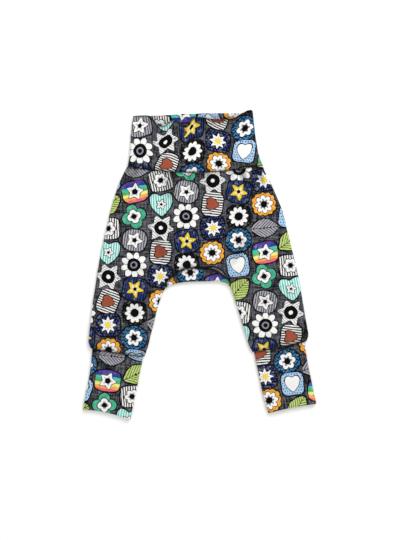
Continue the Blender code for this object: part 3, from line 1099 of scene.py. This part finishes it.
def node_group(name, inputs, outputs):
    """A shader node group with named sockets: name and kind of each."""
    group = bpy.data.node_groups.new(name, "ShaderNodeTree")
    for way, sockets in (("INPUT", inputs), ("OUTPUT", outputs)):
        for socket_name, kind in sockets:
            group.interface.new_socket(socket_name, in_out=way, socket_type=f"NodeSocket{kind}")
    return group, group.nodes.new("NodeGroupInput").outputs, group.nodes.new("NodeGroupOutput").inputs


def vector(tree, x, y, z=0.0):
    """A vector of three numbers."""
    node = tree.nodes.new("ShaderNodeCombineXYZ")
    for value, socket in zip((x, y, z), node.inputs):
        plug(value, socket)
    return node.outputs[0]


def numbers_of(socket):
    """The three numbers of a vector or a colour."""
    node = socket.id_data.nodes.new("ShaderNodeSeparateXYZ")
    plug(socket, node.inputs[0])
    return [Field(output) for output in node.outputs]


def cloudy(tree, place, scale, detail=2.0, roughness=0.5):
    """Soft noise between about 0.2 and 0.8."""
    node = tree.nodes.new("ShaderNodeTexNoise")
    plug(place, node.inputs["Vector"])
    set_inputs(node, Scale=scale, Detail=detail, Roughness=roughness)
    return Field(node.outputs["Fac"])


def paint(mask, below, above):
    """Paints a colour over another where the mask is 1. Colours are sockets or plain RGBA."""
    node = mask.socket.id_data.nodes.new("ShaderNodeMix")
    node.data_type = "RGBA"
    plug(mask, node.inputs["Factor"])
    plug(below, node.inputs["A"])
    plug(above, node.inputs["B"])
    return node.outputs["Result"]


def stepped_ramp(share, colors):
    """A table as a colour ramp with hard steps. The share of the way along it picks a colour."""
    node = share.socket.id_data.nodes.new("ShaderNodeValToRGB")
    node.color_ramp.interpolation = "CONSTANT"
    steps = node.color_ramp.elements
    while len(steps) < len(colors):
        steps.new(1.0)
    for number, (step, color) in enumerate(zip(steps, colors)):
        step.position = number / len(colors)
        step.color = color
    plug(share, node.inputs["Fac"])
    return node.outputs["Color"]


def dye(code):
    """A dyed colour from six hexadecimal digits. Cotton is never as bright as the paper swatch."""
    parts = [int(code[i : i + 2], 16) / 255 for i in (0, 2, 4)]
    linear = [part / 12.92 if part <= 0.04045 else ((part + 0.055) / 1.055) ** 2.4 for part in parts]
    return (*(part * COTTON_BRIGHTNESS for part in linear), 1.0)


print("white cotton is", [round(part, 2) for part in dye("ffffff")[:3]])

# %% [markdown]
# ## The motifs of the print
#
# A printed jersey repeats a few motifs. These are sixteen: daisies, stars, hearts, leaves, a clover
# and striped or dotted pebbles, each on a charcoal ground. One set of numbers can say what each is.
# A body has half widths and a roundness, and its edge may have petals or points. Inside it lie a
# pattern in a second colour and a small figure with a centre. Drawing each motif with nodes of its
# own would need sixteen trees; a table lets one tree draw all of them.

# %% The motifs of the print
PLAIN, STRIPES, DOTS, ZIGZAG, VEINS, RAINBOW, PETALS = range(7)
BLACK, GREY, WHITE = "08080a", "8f8c98", "f8f7f5"
USUAL = dict(
    half=(17.0, 16.0),  # half width and half height
    roundness=2.4,  # 1.2 is nearly a diamond, 2 an ellipse, 4 nearly a square
    lobes=0, depth=0.0, pointed=0, heart=0.0, turn=0, pattern=PLAIN,
    figure=0.0, figure_lobes=0, figure_depth=0.0, figure_pointed=0, figure_heart=0.0,
    figure_dye=WHITE, inner_dye="b3b0bb", centre=0.0, centre_dye=BLACK,
)  # fmt: skip


def flower(size, petals, depth, centre):
    """A figure with round petals."""
    return dict(figure=size, figure_lobes=petals, figure_depth=depth, centre=centre)


def star(size, points, depth, centre):
    """A figure with pointed tips."""
    return dict(flower(size, points, depth, centre), figure_pointed=1)


MOTIFS = (
    # mustard daisy, large white daisy, lime leaf, night sky
    dict(body="eb9d22", second="f7bb50", half=(19.5, 18.5), lobes=12, depth=0.12, pattern=VEINS,
         inner_dye=GREY, **flower(14.5, 8, 0.34, 5.4)),
    dict(body=WHITE, second=BLACK, half=(21.0, 21.0), lobes=9, depth=0.32, pattern=PETALS,
         figure=9.6, figure_dye=BLACK, inner_dye=GREY, centre=3.4),
    dict(body="c3d878", second="1a2c10", half=(22.0, 15.0), roundness=1.5, turn=38, pattern=VEINS),
    dict(body="080c28", second="44589c", half=(19.5, 18.0), roundness=3.4, pattern=DOTS,
         centre_dye="f4d94a", **star(13.5, 8, 0.42, 4.4)),
    # grey pebble with a star, sky-blue pebble with a heart, black stripes, clover
    dict(body="55535b", second="b5b3bc", half=(19.0, 17.5), roundness=2.6, pattern=STRIPES,
         **star(13.5, 5, 0.44, 3.6)),
    dict(body="a9cdf0", second="101c46", half=(17.5, 18.0), roundness=4.5, pattern=DOTS,
         figure=11.5, figure_heart=0.62, inner_dye="f6f5f3"),
    dict(body=BLACK, second=WHITE, half=(19.5, 16.5), roundness=3.6, turn=78, pattern=STRIPES,
         figure=9.0, figure_heart=0.6, figure_dye="a2523c", inner_dye="a2523c"),
    dict(body="45b18b", second=BLACK, half=(19.5, 19.5), lobes=4, depth=0.4, turn=20,
         pattern=PETALS, **flower(11.0, 4, 0.3, 4.2)),
    # blue zigzag, white star, rainbow, black daisy
    dict(body="0b2148", second="2a7fae", half=(20.5, 18.5), roundness=2.2, pattern=ZIGZAG,
         inner_dye=GREY, **flower(13.5, 6, 0.34, 5.0)),
    dict(body=WHITE, second=GREY, half=(22.0, 22.0), lobes=6, depth=0.38, pointed=1, pattern=VEINS,
         figure=9.5, figure_dye=BLACK, inner_dye=BLACK, centre=3.2, centre_dye=WHITE),
    dict(body="ffffff", second="ffffff", half=(20.5, 17.0), roundness=3.4, pattern=RAINBOW,
         **star(14.0, 5, 0.42, 4.6)),
    dict(body=BLACK, second=BLACK, half=(20.0, 20.0), lobes=10, depth=0.1,
         inner_dye="d9d7de", **flower(15.5, 10, 0.3, 6.6)),
    # aqua heart, grey leaf, yellow star at night, white stripes
    dict(body="54cbbf", second="e9f7f4", half=(18.0, 16.0), heart=0.6, pattern=STRIPES,
         **star(8.5, 5, 0.44, 2.2)),
    dict(body="a9a6b2", second=BLACK, half=(22.0, 15.0), roundness=1.5, pattern=VEINS),
    dict(body="0a1136", second="263b76", half=(18.5, 18.0), roundness=4.0, pattern=STRIPES,
         figure_dye="f0cf34", inner_dye="f6f5f3", **star(14.5, 5, 0.5, 3.0)),
    dict(body=WHITE, second=BLACK, half=(19.0, 17.0), roundness=4.0, turn=6, pattern=STRIPES,
         **flower(11.5, 6, 0.32, 4.2)),
)  # fmt: skip
MOTIFS = [USUAL | motif for motif in MOTIFS]
RAINBOW_DYES = ("5a3fa0", "2a3f90", "45c0b0", "58b060", "f5ee90", "f7b04a", "f06a7a")
# Near-black: the ink of the print's outlines, and also the colour of the painted shade.
INK_AND_PAINTED_SHADE = dye("0a0a0c")
print(len(MOTIFS), "motifs")

# %% [markdown]
# ## Where the motifs lie
#
# The motifs stand in columns, and every other column is dropped by half a motif, which hides the
# repeat. The remainder of a sum of column and row picks the motif, so that no motif touches its
# like. A stepped ramp then looks up everything about that motif by its number.

# %% Where the motifs lie
CELL_WIDTH = 41.5
CELL_HEIGHT = 38.5
COLUMN_STEP, ROW_STEP = 5, 3  # how far the list of motifs moves on per column and per row


def motif_column(column):
    """One number of every motif. half_0 and half_1 are its half width and half height."""
    if column.startswith("half_"):
        return [motif["half"][int(column[-1])] for motif in MOTIFS]
    return [motif[column] for motif in MOTIFS]


def look_up(kind, colors):
    """One colour for each kind of motif. Half a step keeps it clear of the ramp's edges."""
    return stepped_ramp((kind + 0.5) / len(MOTIFS), colors)


def look_up_dye(kind, column):
    """One of the dyes of each motif."""
    return look_up(kind, [dye(code) for code in motif_column(column)])


def look_up_numbers(kind, *columns):
    """Three numbers of the motifs, looked up together. A ramp holds 0 to 1, so they are scaled."""
    scales = [max(motif_column(column)) for column in columns]
    colors = [
        (*(value / scale for value, scale in zip(values, scales)), 1.0)
        for values in zip(*map(motif_column, columns))
    ]
    return [number * scale for number, scale in zip(numbers_of(look_up(kind, colors)), scales)]


print("a motif has a cell of", CELL_WIDTH, "by", CELL_HEIGHT, "mm")

# %% [markdown]
# ## The place of each point in its motif
#
# A shader doesn't draw motifs one after another. It is asked about one point of the cloth at a time
# and has to say its colour. So the first step turns a point's place in the flat cloth into the cell
# it is in and its place within that cell. A few chance numbers for each cell then move and turn its
# motif a little, and `lobed` makes petals and star points from the direction to the motif's middle.

# %% The place of each point in its motif
def motif_place(flat):
    """Which cell of the layout a place of the flat cloth is in, and where in that cell. In mm."""
    x, y = numbers_of(flat)[:2]
    column = (x / CELL_WIDTH).maths("FLOOR")
    dropped = y + (column % 2.0) * (CELL_HEIGHT / 2)
    row = (dropped / CELL_HEIGHT).maths("FLOOR")
    across_cell = x - (column + 0.5) * CELL_WIDTH
    up_cell = dropped - (row + 0.5) * CELL_HEIGHT
    return column, row, across_cell, up_cell


def chances(tree, column, row):
    """Three even random numbers between 0 and 1 for each cell, always the same."""
    node = tree.nodes.new("ShaderNodeTexWhiteNoise")
    node.noise_dimensions = "2D"
    plug(vector(tree, column, row), node.inputs["Vector"])
    return numbers_of(node.outputs["Color"])


def turned(x, y, angle):
    """A place seen after a turn by an angle in radians."""
    cosine, sine = angle.maths("COSINE"), angle.maths("SINE")
    return x * cosine + y * sine, y * cosine - x * sine


def lobed(angle, lobes, depth, pointed):
    """How far a shape reaches in a direction. Petals have round tips, and stars pointed ones."""
    half_turns = angle * lobes * 0.5
    petals = 1.0 - abs(half_turns.maths("COSINE"))
    points = abs(half_turns.maths("SINE"))
    return 1.0 - (petals + (points - petals) * pointed) * depth


# %% [markdown]
# ## The patterns inside the motifs
#
# Each pattern is a mask for the motif's second colour, made by the same few steps: a length is
# repeated by its remainder, and a threshold turns the repeat into marks. The number of the pattern
# switches one of them on.

# %% The patterns inside the motifs
STRIPE_STEP, STRIPE_INK = 3.9, 0.24  # the step of the marks in mm, and half their share of it
DOT_STEP, DOT_SHIFT, DOT_INK = 4.4, 2.2, 0.22
ZIGZAG_LENGTH, ZIGZAG_HEIGHT, ZIGZAG_STEP, ZIGZAG_INK = 6.0, 7.0, 5.6, 0.2
VEIN_SLOPE, VEIN_STEP, VEIN_INK, MIDRIB = 1.15, 5.4, 0.15, 0.55
PETAL_INK = 0.21


def repeat(length, period):
    """Where a length is within its period, from -0.5 to 0.5."""
    return (length / period) % 1.0 - 0.5


def hypotenuse(x, y):
    """The distance of a place from the middle."""
    return (x * x + y * y).maths("SQRT")


def is_pattern(pattern, number):
    """1 where the motif's pattern has this number."""
    return abs(pattern - number) < 0.5


def second_dye_mask(pattern, x, y, radius, angle, lobes):
    """Where the second colour of a motif shows."""
    dot_x = repeat(x + (y / DOT_STEP).maths("FLOOR") * DOT_SHIFT, DOT_STEP)
    zigzag = y + abs(repeat(x, ZIGZAG_LENGTH)) * ZIGZAG_HEIGHT
    vein = abs(repeat(abs(y) * VEIN_SLOPE - x, VEIN_STEP)) < VEIN_INK
    marks = {
        STRIPES: abs(repeat(x, STRIPE_STEP)) < STRIPE_INK,
        DOTS: hypotenuse(dot_x, repeat(y, DOT_STEP)) < DOT_INK,
        ZIGZAG: abs(repeat(zigzag, ZIGZAG_STEP)) < ZIGZAG_INK,
        VEINS: largest(vein, abs(y) < MIDRIB),
        PETALS: abs((angle * lobes * 0.5).maths("COSINE")) * radius / lobes < PETAL_INK,
    }
    shown = [mask * is_pattern(pattern, number) for number, mask in marks.items()]
    return sum(shown[1:], shown[0])


def rainbow(y, half_height):
    """Seven colours across the height of a motif, from the top down."""
    return stepped_ramp(y / half_height * -0.5 + 0.5, [dye(code) for code in RAINBOW_DYES])


# %% [markdown]
# ## The print
#
# The layers are painted as a textile printer would lay them: first the charcoal ground with its
# brushed linen look, then each motif's ink outline, its body, the marks in its second colour, and
# last its figure. Soft noise bends all the edges a little, because a drawn line is never exact, and
# paler and darker clouds in each body look like watercolour. The linen look is two long noises, one
# drawn out along each way of the threads.

# %% The charcoal ground
ALONG_THREAD, ACROSS_THREAD = 0.05, 0.42  # how fine the noise is along a brushed thread and across
THREAD_GRAIN = dict(detail=3.0, roughness=0.65)
WARP_LAYER, WOBBLE_LAYER = 7.0, 40.0  # levels of the noise, so that two readings of it aren't alike
CLOUD_SCALE, CLOUD_SHARE = 0.03, 0.2
GROUND_MIDDLE, GROUND_CONTRAST, GROUND_LIGHT = 0.6, 4.8, 0.3


def linen_ground(tree, flat):
    """Charcoal with brushed threads both ways."""
    x, y = numbers_of(flat)[:2]
    across_place = vector(tree, x * ALONG_THREAD, y * ACROSS_THREAD)
    down_place = vector(tree, x * ACROSS_THREAD, y * ALONG_THREAD, WARP_LAYER)
    weft, warp = (cloudy(tree, place, 1.0, **THREAD_GRAIN) for place in (across_place, down_place))
    threads = (weft + warp) * 0.5 + cloudy(tree, flat, CLOUD_SCALE) * CLOUD_SHARE
    light = (threads - GROUND_MIDDLE) * GROUND_CONTRAST + GROUND_LIGHT
    return paint(light, dye("131417"), dye("787a82"))


# %% [markdown]
# ## The outlines of a motif
#
# The body and the figure each give one number, about how far outside its edge a point lies. That is
# better than a mask, because the same number also gives the ink outline round the edge, at any
# width. A superellipse makes the pebbles, and pulling its sides up makes a heart.

# %% The outlines of a motif
HEART_LIFT, FIGURE_HEART_LIFT = 5.0, 2.5  # bring a heart back to the middle of its motif, in mm


def heart_height(x, y, heart, lift):
    """A point's height, less the further it is to the side. It turns a round shape into a heart."""
    return y - abs(x) * heart + heart * lift


def body_edge(kind, x, y, angle, half_x, half_y, roundness, lobes):
    """About how far outside a motif's body a point lies, in mm."""
    depth, heart, pointed = look_up_numbers(kind, "depth", "heart", "pointed")
    heart_y = heart_height(x, y, heart, HEART_LIFT)
    corner = (abs(x) / half_x) ** roundness + (abs(heart_y) / half_y) ** roundness
    body = corner ** (roundness**-1.0) / lobed(angle, lobes, depth, pointed)
    return (body - 1.0) * smallest(half_x, half_y)


def figure_edge(kind, x, y, angle, figure, heart):
    """How far outside a motif's figure a point lies, in mm."""
    lobes, depth, pointed = look_up_numbers(kind, "figure_lobes", "figure_depth", "figure_pointed")
    figure_y = heart_height(x, y, heart, FIGURE_HEART_LIFT)
    return hypotenuse(x, figure_y) - figure * lobed(angle, lobes, depth, pointed)


# %% [markdown]
# ## The layers of the print
#
# Now the whole recipe is written down once, as a node group that both jersey materials share. Its
# inputs are a point's place in the flat cloth, the width of the ink, and the seam shade. Last of all,
# the group paints that shade over the print, towards near-black: it is painted shade.

# %% The layers of the print
INK_WIDTH = 1.7  # of an outline, in mm
FIGURE_INK = 0.8  # the figure's outline is a little finer
INK_INSIDE = -0.3  # the ink also covers this much of the body's edge, in mm
INNER_SHARE = 0.4  # of a figure's size: how far inside its edge the inner colour starts
WOBBLE, WOBBLE_SCALE = 1.3, 0.11  # how far the noise bends an edge, in mm
MOTIF_DRIFT, MOTIF_TURN = 2.4, 26.0  # how much motifs may move, in mm, and turn, in degrees
DEGREE = math.radians(1.0)
SHADE_STRENGTH = 0.85
WASH_SCALE = 0.16
# Watercolour: the noise that a wash starts from, its strength, and its colour.
PALE_WASH = (0.52, 1.1, "ffffff")
DARK_WASH = (0.46, 1.6, "20202a")


def washed(body_dye, watercolour):
    """A body's colour with pale and dark clouds, like watercolour."""
    start, strength, code = PALE_WASH
    body_dye = paint(largest(watercolour - start, 0.0) * strength, body_dye, dye(code))
    start, strength, code = DARK_WASH
    return paint(largest(start - watercolour, 0.0) * strength, body_dye, dye(code))


def build_print_and_shade():
    """The node group that colours the cloth: the print, and the painted shade over it."""
    group, given, result = node_group(
        "bright motifs on charcoal, with painted shade",
        [("Flat Place", "Vector"), ("Ink Width", "Float"), ("Seam Shade", "Float")],
        [("Color", "Color")],
    )
    to_mm = group.nodes.new("ShaderNodeVectorMath")
    to_mm.operation = "SCALE"
    to_mm.inputs["Scale"].default_value = 1 / MM
    plug(given["Flat Place"], to_mm.inputs[0])
    flat = to_mm.outputs[0]

    column, row, x, y = motif_place(flat)
    kind = (column * COLUMN_STEP + row * ROW_STEP) % len(MOTIFS)
    chance_x, chance_y, chance_turn = chances(group, column, row)
    elsewhere = vector(group, *numbers_of(flat)[:2], WOBBLE_LAYER)
    wobble_x = (cloudy(group, flat, WOBBLE_SCALE) - 0.5) * (2 * WOBBLE)
    wobble_y = (cloudy(group, elsewhere, WOBBLE_SCALE) - 0.5) * (2 * WOBBLE)
    x = x + wobble_x + (chance_x - 0.5) * MOTIF_DRIFT
    y = y + wobble_y + (chance_y - 0.5) * MOTIF_DRIFT

    half_x, half_y, roundness = look_up_numbers(kind, "half_0", "half_1", "roundness")
    turn, pattern, lobes = look_up_numbers(kind, "turn", "pattern", "lobes")
    figure, figure_heart, centre = look_up_numbers(kind, "figure", "figure_heart", "centre")
    x, y = turned(x, y, (turn + (chance_turn - 0.5) * MOTIF_TURN) * DEGREE)
    angle, radius = y.maths("ARCTAN2", x), hypotenuse(x, y)
    off_body = body_edge(kind, x, y, angle, half_x, half_y, roundness, lobes)
    off_figure = figure_edge(kind, x, y, angle, figure, figure_heart)

    body_dye = look_up_dye(kind, "body")
    body_dye = paint(is_pattern(pattern, RAINBOW), body_dye, rainbow(y, half_y))
    marks = second_dye_mask(pattern, x, y, radius, angle, largest(lobes, 1.0))
    body_dye = paint(marks, body_dye, look_up_dye(kind, "second"))
    body_dye = washed(body_dye, cloudy(group, flat, WASH_SCALE, detail=4.0, roughness=0.6))

    color = linen_ground(group, flat)
    ink_width = Field(given["Ink Width"])
    color = paint(off_body < ink_width, color, INK_AND_PAINTED_SHADE)
    color = paint(off_body < INK_INSIDE, color, body_dye)
    color = paint(off_figure < ink_width * FIGURE_INK, color, INK_AND_PAINTED_SHADE)
    color = paint(off_figure < 0.0, color, look_up_dye(kind, "figure_dye"))
    color = paint(off_figure + figure * INNER_SHARE < 0.0, color, look_up_dye(kind, "inner_dye"))
    color = paint(radius < centre, color, look_up_dye(kind, "centre_dye"))
    # Last, painted shade: the seam shade darkens the print towards near-black in seams, hollows and the
    # waistband's opening.
    plug(paint(Field(given["Seam Shade"]) * SHADE_STRENGTH, color, INK_AND_PAINTED_SHADE), result["Color"])
    return group


print_and_shade_group = build_print_and_shade()
print("the print has", len(print_and_shade_group.nodes), "nodes")

# %% [markdown]
# ## The knit
#
# Jersey is a fine knit: columns of small V-shaped stitches, not quite a millimetre wide. They are
# far too many to model, so a second node group makes their height for a Bump node, and makes the
# cloth a little rougher between them. Both kinds of cloth use the group, the doubled one with
# slightly larger stitches because it is stretched over a fold.

# %% The knit
STITCH_HEIGHT, STITCH_SLOPE = 0.85, 1.1  # of a stitch and its arms, beside its width
RIB, ARMS, FUZZ = 0.9, 0.8, 0.6  # how much each adds to the height
FUZZ_SCALE = 900.0
ROUGH_COTTON, WORN_RIB = 0.93, 0.16  # roughness, and how much less of it the ribs have


def build_knit():
    """The node group of jersey stitches."""
    group, given, result = node_group(
        "jersey stitches",
        [("Flat Place", "Vector"), ("Stitch Width", "Float")],
        [("Height", "Float"), ("Roughness", "Float")],
    )
    x, y = numbers_of(given["Flat Place"])[:2]
    stitch = Field(given["Stitch Width"])
    column = abs(repeat(x, stitch))
    arms = abs(repeat(y + column * stitch * STITCH_SLOPE, stitch * STITCH_HEIGHT))
    fuzz = cloudy(group, given["Flat Place"], FUZZ_SCALE)
    plug((0.5 - column) * RIB + (0.5 - arms) * ARMS + fuzz * FUZZ, result["Height"])
    plug(ROUGH_COTTON - (0.5 - column) * WORN_RIB, result["Roughness"])
    return group


knit_group = build_knit()
print("the knit has", len(knit_group.nodes), "nodes")

# %% [markdown]
# ## Cutting out
#
# Each piece is cut from its own place on the roll of jersey, so the print breaks at every seam, as it
# does on real clothes. In Blender that is a move of the piece's UV map, and a small turn for the
# cuffs, which are rarely cut quite straight. Moving the map is better than a Mapping node here,
# because all pieces can then share one material.

# %% Cutting out
CUTS = (  # piece, right, up, turn in degrees
    (front, 0.0, 0.0, 0.0),
    (back, 259.0, 131.0, 0.0),
    (gusset, 77.0, 52.0, 0.0),
    (waistband, 32.5, 185.0, 0.0),
    (left_cuff, 9.0, -18.0, 10.0),
    (right_cuff, 31.0, 12.0, -11.0),
)


def cut_out(piece, right, up, turn):
    """Chooses where on the printed jersey a piece is cut out. It moves and turns the piece's map."""
    places = np.empty(2 * len(piece.data.loops))
    cloth_map = piece.data.uv_layers[CLOTH_MAP].data
    cloth_map.foreach_get("uv", places)
    places = places.reshape(-1, 2)
    middle = places.mean(axis=0)
    cosine, sine = math.cos(math.radians(turn)), math.sin(math.radians(turn))
    places = (places - middle) @ np.array(((cosine, sine), (-sine, cosine))) + middle
    cloth_map.foreach_set("uv", (places + np.array((right, up)) * MM).ravel())


for piece, right, up, turn in CUTS:
    cut_out(piece, right, up, turn)
    print(piece.name, "is cut", right, "mm right and", up, "mm up on the roll")

# %% [markdown]
# ## The jersey materials
#
# Cotton jersey is matt: its fibres scatter light, so the shader gets a high roughness, hardly any
# mirror reflection and a trace of sheen. The print, with the painted shade over it, goes to the base
# colour and the stitches to the normal. The constant values are set on the shader itself, where
# anyone will look for them.

# %% The jersey materials
STITCH_RELIEF, RELIEF_STRENGTH = 0.00016, 0.7
SINGLE_STITCH, DOUBLED_STITCH = 0.8, 0.86  # widths in mm


def place_group(tree, group, **values):
    """Puts a node group in a material and sets its inputs."""
    node = tree.nodes.new("ShaderNodeGroup")
    node.node_tree = group
    for name, value in values.items():
        plug(value, node.inputs[name.replace("_", " ")])
    return node.outputs


def printed_jersey(name, stitch_width):
    """A printed knit that reads the flat cloth's map."""
    material, shader = new_material(name)
    tree = material.node_tree
    cloth_map = tree.nodes.new("ShaderNodeUVMap")
    cloth_map.uv_map = CLOTH_MAP
    flat = cloth_map.outputs["UV"]
    shade = tree.nodes.new("ShaderNodeAttribute")
    shade.attribute_name = SEAM_SHADE
    print_and_shade_colors = place_group(
        tree, print_and_shade_group, Flat_Place=flat, Ink_Width=INK_WIDTH, Seam_Shade=shade.outputs["Fac"]
    )
    knit = place_group(tree, knit_group, Flat_Place=flat, Stitch_Width=stitch_width * MM)
    bump = tree.nodes.new("ShaderNodeBump")
    set_inputs(bump, Distance=STITCH_RELIEF, Strength=RELIEF_STRENGTH)
    plug(knit["Height"], bump.inputs["Height"])
    plug(bump.outputs["Normal"], shader.inputs["Normal"])
    plug(print_and_shade_colors["Color"], shader.inputs["Base Color"])
    plug(knit["Roughness"], shader.inputs["Roughness"])
    set_inputs(shader, Sheen_Weight=0.02, Sheen_Roughness=0.6, Specular_IOR_Level=0.03)
    return material


single_jersey = printed_jersey("printed jersey", SINGLE_STITCH)
doubled_jersey = printed_jersey("printed jersey, doubled", DOUBLED_STITCH)
for piece in (front, back, gusset, waistband, left_cuff, right_cuff):
    doubled = piece in (waistband, left_cuff, right_cuff)
    piece.data.materials.clear()
    piece.data.materials.append(doubled_jersey if doubled else single_jersey)
    print(piece.name, "is made of", piece.data.materials[0].name)

# %% [markdown]
# ## Fitting the pieces to the frame
#
# Each sheet now takes the place of its plain solid. For every sheet the table also keeps the size of
# the flat cloth that it was made from, and its area where the cut isn't a rectangle. The waistband
# and the cuffs are given as they look once folded: each was cut twice as deep.

# %% Fitting the pieces to the frame
PIECES = (
    (front, "front", "printed_jersey", (0.351, 0.306), 0.071),
    (back, "back", "printed_jersey", (0.351, 0.306), 0.071),
    (gusset, "gusset", "printed_jersey", (0.110, 0.056), 0.0038),
    (waistband, "waistband", "printed_jersey_doubled", (0.410, 0.092), None),
    (left_cuff, "left_cuff", "printed_jersey_doubled", (0.165, 0.098), None),
    (right_cuff, "right_cuff", "printed_jersey_doubled", (0.165, 0.098), None),
)
for piece, node, slot, flat_size, flat_area in PIECES:
    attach(piece, "root")
    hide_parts(node)
    print(piece.name, "replaces", node, "and was cut", flat_size[0], "by", flat_size[1], "m")
